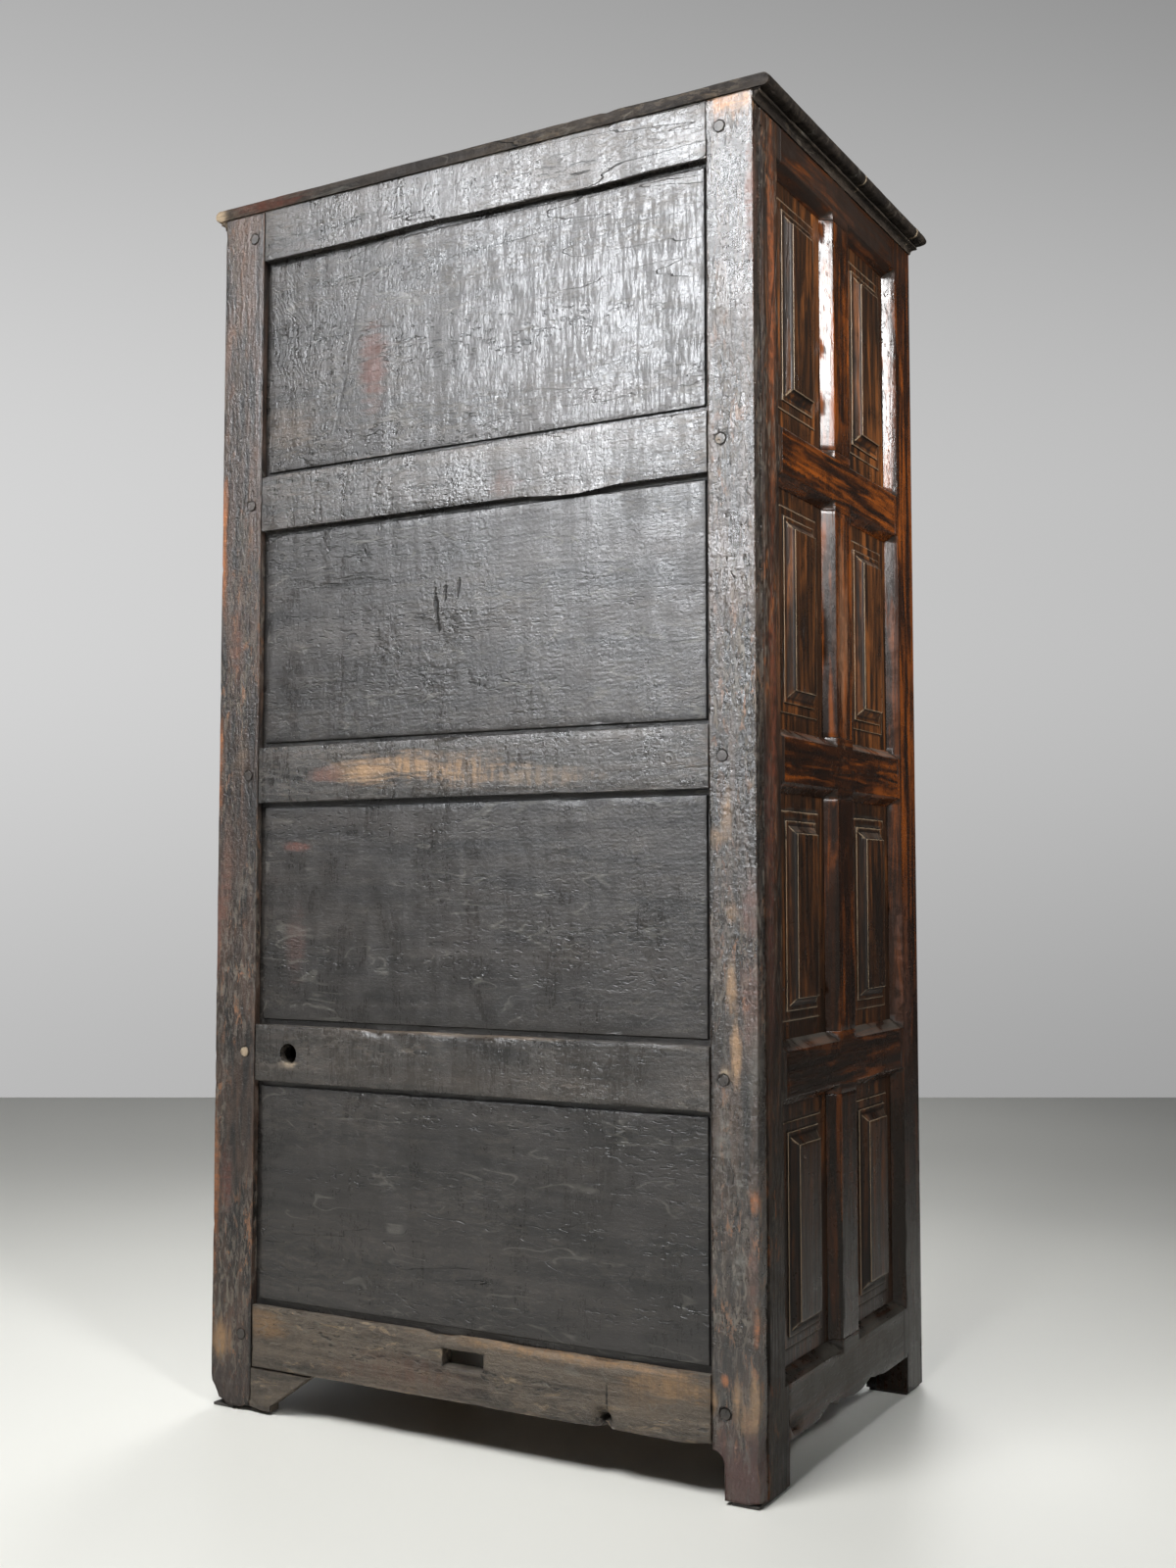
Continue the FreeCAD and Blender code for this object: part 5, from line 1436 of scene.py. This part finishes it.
@dataclass
class Top(SubAssembly):
    """The top board and the strips below its edge."""

    cell: Triple = (9.0, 9.0, 5.0)

    def finishes(self) -> dict[str, PieceFinish]:
        """What each node of the top gets.

        Returns:
            The finish of each node, by its name.
        """
        board = Ageing(arris=1.4, cell=self.cell, hollow=0.9, ripple=0.7, nick=3.2, wander=1.4)
        return {"top_board": PieceFinish(TOP_WOOD, Run.ACROSS, board),
                "cornice_strips": PieceFinish(TOP_WOOD, Run.DEEP, board)}


@dataclass
class FrontFrame(SubAssembly):
    """The rails between the front posts."""

    cell: Triple = (12.0, 12.0, 12.0)

    def finishes(self) -> dict[str, PieceFinish]:
        """What each node of the front frame gets.

        Returns:
            The finish of each node, by its name.
        """
        rail = Ageing(arris=1.4, cell=self.cell, hollow=0.5, ripple=0.2, nick=1.4)
        return {f"front_{level}_rail": PieceFinish(SIDE_FRAME, Run.ACROSS, rail)
                for level in ("top", "middle", "bottom")}


@dataclass
class FallLeaf(SubAssembly):
    """The leaf that falls to make a writing surface, with its lock and ring."""

    cell: Triple = (12.0, 12.0, 12.0)
    iron_cell: Triple = (4.0, 4.0, 4.0)

    def finishes(self) -> dict[str, PieceFinish]:
        """What each node of the leaf gets.

        Returns:
            The finish of each node, by its name.
        """
        wood = Ageing(arris=1.0, cell=self.cell, hollow=0.35, ripple=0.15, nick=1.0)
        panel = Ageing(arris=0.7, cell=self.cell, hollow=0.3, ripple=0.15, nick=0.7)
        iron = Ageing(arris=0.4, cell=self.iron_cell, hollow=0.12, ripple=0.08, nick=0.2)
        made = {"fall_stiles": PieceFinish(SIDE_FRAME, Run.UP, wood),
                "fall_muntins": PieceFinish(SIDE_FRAME, Run.UP, wood),
                "fall_panels": PieceFinish(SIDE_PANEL, Run.UP, panel)}
        for level in ("bottom", "middle", "top"):
            made[f"fall_{level}_rail"] = PieceFinish(SIDE_FRAME, Run.ACROSS, wood)
        for node in ("lock_plate", "lock_case", "lock_bolt", "fall_ring_plate", "fall_ring"):
            made[node] = PieceFinish(IRON, Run.UP, iron)
        return made


@dataclass
class CupboardDoors(SubAssembly):
    """The pair of panelled doors below the leaf."""

    cell: Triple = (12.0, 12.0, 12.0)

    def finishes(self) -> dict[str, PieceFinish]:
        """What each node of the doors gets.

        Returns:
            The finish of each node, by its name.
        """
        wood = Ageing(arris=1.0, cell=self.cell, hollow=0.35, ripple=0.15, nick=1.0)
        panel = Ageing(arris=0.7, cell=self.cell, hollow=0.3, ripple=0.15, nick=0.7)
        knob = Ageing(arris=0.8, cell=(5.0, 5.0, 5.0), hollow=0.2, ripple=0.1, nick=0.3)
        made = {}
        for side in ("left", "right"):
            made[f"{side}_door_stiles"] = PieceFinish(SIDE_FRAME, Run.UP, wood)
            made[f"{side}_door_rails"] = PieceFinish(SIDE_FRAME, Run.ACROSS, wood)
            made[f"{side}_door_panels"] = PieceFinish(SIDE_PANEL, Run.UP, panel)
            made[f"{side}_door_knob"] = PieceFinish(TURNED_WOOD, Run.DEEP, knob)
        return made


@dataclass
class Inside(SubAssembly):
    """Boards, dividers, battens and lopers."""

    cell: Triple = (30.0, 30.0, 30.0)

    def finishes(self) -> dict[str, PieceFinish]:
        """What each node of the inside gets.

        Returns:
            The finish of each node, by its name.
        """
        board = Ageing(arris=0.8, cell=self.cell, hollow=0.3, ripple=0.15, nick=0.8)
        bar = Ageing(arris=0.8, cell=(12.0, 16.0, 12.0), hollow=0.2, ripple=0.1, nick=0.5)
        made = {node: PieceFinish(INNER_WOOD, Run.ACROSS, board)
                for node in ("bottom_board", "lower_shelf", "dust_board", "writing_deck",
                             "pigeonhole_boards")}
        for node in ("shelf_battens", "loper_guides"):
            made[node] = PieceFinish(INNER_WOOD, Run.DEEP, board)
        for node in ("left_loper", "right_loper"):
            made[node] = PieceFinish(TURNED_WOOD, Run.DEEP, bar)
        return made


@dataclass
class Fastenings(SubAssembly):
    """Pegs, pivot pins and the pads under the feet."""

    def finishes(self) -> dict[str, PieceFinish]:
        """What each node of the fastenings gets.

        Returns:
            The finish of each node, by its name.
        """
        peg = Ageing(arris=0.4, cell=(4.0, 4.0, 4.0), hollow=0.3, ripple=0.3, nick=0.4, sharp_from=50.0)
        pin = Ageing(arris=0.3, cell=(6.0, 6.0, 6.0), hollow=0.05, ripple=0.05, nick=0.1, sharp_from=50.0)
        pad = Ageing(arris=0.8, cell=(12.0, 12.0, 6.0), hollow=0.2, ripple=0.2, nick=0.2)
        return {"drawbore_pegs": PieceFinish(PEG_WOOD, Run.DEEP, peg),
                "pivot_pins": PieceFinish(IRON, Run.UP, pin),
                "foot_pads": PieceFinish(FELT, Run.UP, pad)}


@dataclass(frozen=True)
class Lamp:
    """A soft square lamp: its place, the point it faces, its side in metres, its watts and its spread.

    A lamp that is only sheen shows in glossy surfaces and lights nothing else.
    """

    name: str
    place: Triple
    target: Triple
    size: float
    power: float
    spread: float
    only_sheen: bool = False
    colour: Triple = (1.0, 1.0, 1.0)

    def build(self) -> None:
        """Adds the lamp to the scene."""
        data = bpy.data.lights.new(self.name, "AREA")
        data.shape = "SQUARE"
        data.size = self.size
        data.energy = self.power
        data.color = self.colour
        data.spread = math.radians(self.spread)
        lamp = placed(self.name, data)
        lamp.location = self.place
        lamp.rotation_euler = facing(Vector(self.target) - Vector(self.place))
        lamp.visible_diffuse = not self.only_sheen


@dataclass
class Studio:
    """The pale floor, the grey backdrops that glow with painted light, the lamps and the camera. Lengths
    are in metres.
    """

    camera_place: Triple = (-1.179, 2.054, 0.685)
    camera_ahead: Triple = (0.4914, -0.8686, 0.0633)
    lens: float = 38.9
    sensor: float = 36.0
    sight: float = 60.0
    floor_half_width: float = 16.0
    floor_depth: float = 18.0
    floor_colour: Colour = (0.84, 0.84, 0.79, 1.0)
    floor_shade: float = 0.94
    floor_rough: float = 0.45
    wall_distance: float = 5.7
    front_reach: tuple[float, float] = (-2.7, 18.0)
    # How fast the front backdrop's painted light grows paler along its width, and where that stops.
    front_slope: float = 0.035
    slope_end: float = 2.7
    rear_wall: float = 6.5
    rear_reach: tuple[float, float] = (-8.0, 17.0)
    side_wall: float = -8.0
    side_reach: tuple[float, float] = (-3.0, 6.5)
    wall_height: float = 7.0
    # Painted light on the backdrops: the level they glow at, how much it rises above the floor and falls
    # high up, and the heights where it does so.
    wall_glow_level: float = 0.42
    wall_glow_rise: float = 0.17
    rise_between: tuple[float, float] = (-0.2, 1.6)
    wall_glow_fall: float = 0.26
    fall_between: tuple[float, float] = (1.9, 4.4)
    world_colour: Colour = (0.93, 0.95, 1.0, 1.0)
    world_level: float = 0.035
    lamps: tuple[Lamp, ...] = (
        Lamp("window", (0.9, 3.0, 2.5), (-0.2, 0.3, 1.45), 1.2, 23.0, 54.0, True, (0.93, 0.96, 1.0)),
        Lamp("side_light", (-2.35, 1.45, 2.25), (-0.4, -0.15, 1.3), 0.6, 13.0, 50.0),
        Lamp("front_light", (0.8, -2.3, 2.2), (0.0, -0.27, 0.9), 1.4, 12.0, 90.0),
        Lamp("ceiling", (0.0, 2.0, 3.5), (0.0, 1.9, 0.0), 1.4, 128.0, 160.0),
    )

    def build(self) -> None:
        """Makes the stage, the lamps and the camera."""
        self._view()
        self._camera()
        self._stage()
        self._world()
        for lamp in self.lamps:
            lamp.build()

    @staticmethod
    def _view() -> None:
        """Sets how colours are shown."""
        bpy.context.scene.view_settings.view_transform = "Standard"

    def _camera(self) -> None:
        """Puts the camera where the photograph was taken from."""
        data = bpy.data.cameras.new("camera")
        data.lens = self.lens
        data.sensor_width = self.sensor
        data.clip_end = self.sight
        camera = placed("camera", data)
        camera.location = self.camera_place
        camera.rotation_euler = facing(Vector(self.camera_ahead))
        bpy.context.scene.camera = camera

    def _stage(self) -> None:
        """Makes the floor and the walls around it."""
        ahead = Vector((self.camera_ahead[0], self.camera_ahead[1], 0.0)).normalized()
        side = Vector((-ahead.y, ahead.x, 0.0))
        foot = Vector((self.camera_place[0], self.camera_place[1], 0.0)) + ahead * self.wall_distance
        mesh = bmesh.new()
        near = foot - ahead * self.floor_depth
        out = side * self.floor_half_width
        corners = (near - out, near + out, foot + out, foot - out)
        floor = mesh.faces.new([mesh.verts.new(corner) for corner in corners])
        floor.normal_update()
        if floor.normal.z < 0.0:
            floor.normal_flip()
        self._stage_piece("floor", mesh, self._floor_paint("floor"))
        self._wall("backdrop", foot, side, self.front_reach, self.front_slope)
        rear = Vector((0.0, self.rear_wall, 0.0))
        self._wall("rear_backdrop", rear, Vector((1.0, 0.0, 0.0)), self.rear_reach, 0.0)
        left = Vector((self.side_wall, 0.0, 0.0))
        self._wall("side_backdrop", left, Vector((0.0, 1.0, 0.0)), self.side_reach, 0.0)

    def _wall(self, name: str, foot: Vector, along: Vector, reach: tuple[float, float],
              slope: float) -> None:
        """Makes a backdrop that faces the cabinet.

        Args:
            name: the backdrop's name.
            foot: a point on its lower edge.
            along: the direction along it.
            reach: where it starts and ends along that direction, in metres from the point.
            slope: how fast its painted light grows paler along its width.
        """
        mesh = bmesh.new()
        rise = Vector((0.0, 0.0, self.wall_height))
        start = foot + along * reach[0]
        end = foot + along * reach[1]
        corners = (start, end, end + rise, start + rise)
        wall = mesh.faces.new([mesh.verts.new(corner) for corner in corners])
        wall.normal_update()
        if wall.normal.dot(foot) > 0.0:
            wall.normal_flip()
        self._stage_piece(name, mesh, self._backdrop(name, along, foot, slope))

    @staticmethod
    def _stage_piece(name: str, mesh: bmesh.types.BMesh, material: Material) -> None:
        """Turns a bmesh into a piece of the stage.

        Args:
            name: the piece's name.
            mesh: its mesh, which is used up.
            material: its material.
        """
        data = bpy.data.meshes.new(name)
        mesh.to_mesh(data)
        mesh.free()
        data.materials.append(material)
        placed(name, data)

    def _floor_paint(self, name: str) -> Material:
        """Pale floor paint with slight unevenness.

        Args:
            name: the material's name.

        Returns:
            The material.
        """
        sheet, made = NodeSheet.of_material(name)
        darker = tuple(part * self.floor_shade for part in self.floor_colour[:3]) + (1.0,)
        uneven = sheet.clouds(sheet.place(), 0.8, 3.0)
        colour = sheet.tint(uneven, self.floor_colour, darker)
        sheet.principled({"Base Color": colour, "Roughness": self.floor_rough})
        return made

    def _backdrop(self, name: str, side: Vector, foot: Vector, slope: float) -> Material:
        """A grey backdrop that glows with painted light, palest behind the middle of the cabinet, that
        nobody sees from behind.

        Args:
            name: the material's name.
            side: the direction along the wall.
            foot: a point on the wall's lower edge.
            slope: how fast its painted light grows paler along its width.

        Returns:
            The material.
        """
        sheet, made = NodeSheet.of_material(name)
        place = sheet.shift("SUBTRACT", sheet.place(), tuple(foot))
        height = sheet.height_of(place)
        # Painted light: the glow grows brighter from the floor up to the rise height, darker above the
        # fall height, and paler along the wall's width.
        low = sheet.step(height, *self.rise_between)
        high = sheet.step(height, *self.fall_between)
        level = sheet.plus(self.wall_glow_level, sheet.times(low, self.wall_glow_rise))
        level = sheet.less(level, sheet.times(high, self.wall_glow_fall))
        away = sheet.calc("MINIMUM", sheet.shift("DOT_PRODUCT", place, tuple(side)), self.slope_end)
        level = sheet.plus(level, sheet.times(away, slope))
        grey = sheet.node("ShaderNodeCombineColor", {0: level, 1: level, 2: level}).outputs["Color"]
        # Painted light: camera, glossy and transmission rays see the backdrop glow at this grey; other
        # rays find a diffuse grey.
        rays = sheet.node("ShaderNodeLightPath")
        seen = sheet.plus(rays.outputs["Is Camera Ray"], rays.outputs["Is Glossy Ray"])
        seen = sheet.calc("ADD", seen, rays.outputs["Is Transmission Ray"], clamp=True)
        glow = sheet.node("ShaderNodeEmission", {"Color": grey}).outputs["Emission"]
        surface = sheet.node("ShaderNodeBsdfDiffuse", {"Color": grey}).outputs["BSDF"]
        glowing_paper = sheet.blend(seen, surface, glow)
        behind = sheet.node("ShaderNodeNewGeometry").outputs["Backfacing"]
        clear = sheet.node("ShaderNodeBsdfTransparent").outputs["BSDF"]
        sheet.surface(sheet.blend(behind, glowing_paper, clear))
        return made

    def _world(self) -> None:
        """Lights everything a little from all around."""
        world = bpy.data.worlds.new("studio")
        bpy.context.scene.world = world
        world.use_nodes = True
        back = world.node_tree.nodes["Background"]
        back.inputs["Color"].default_value = self.world_colour
        back.inputs["Strength"].default_value = self.world_level


def main() -> None:
    """Builds the cabinet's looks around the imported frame."""
    logging.basicConfig(level=logging.INFO, format="%(name)s: %(message)s")
    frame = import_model()
    shop = Workshop(frame)
    for kind in (BackFrame, SideFrames, Top, FrontFrame, FallLeaf, CupboardDoors, Inside, Fastenings):
        group = kind(shop)
        group.build()
        LOG.info("%s: %d pieces", kind.__name__, len(group.pieces))
    Studio().build()


if __name__ == "__main__":
    main()
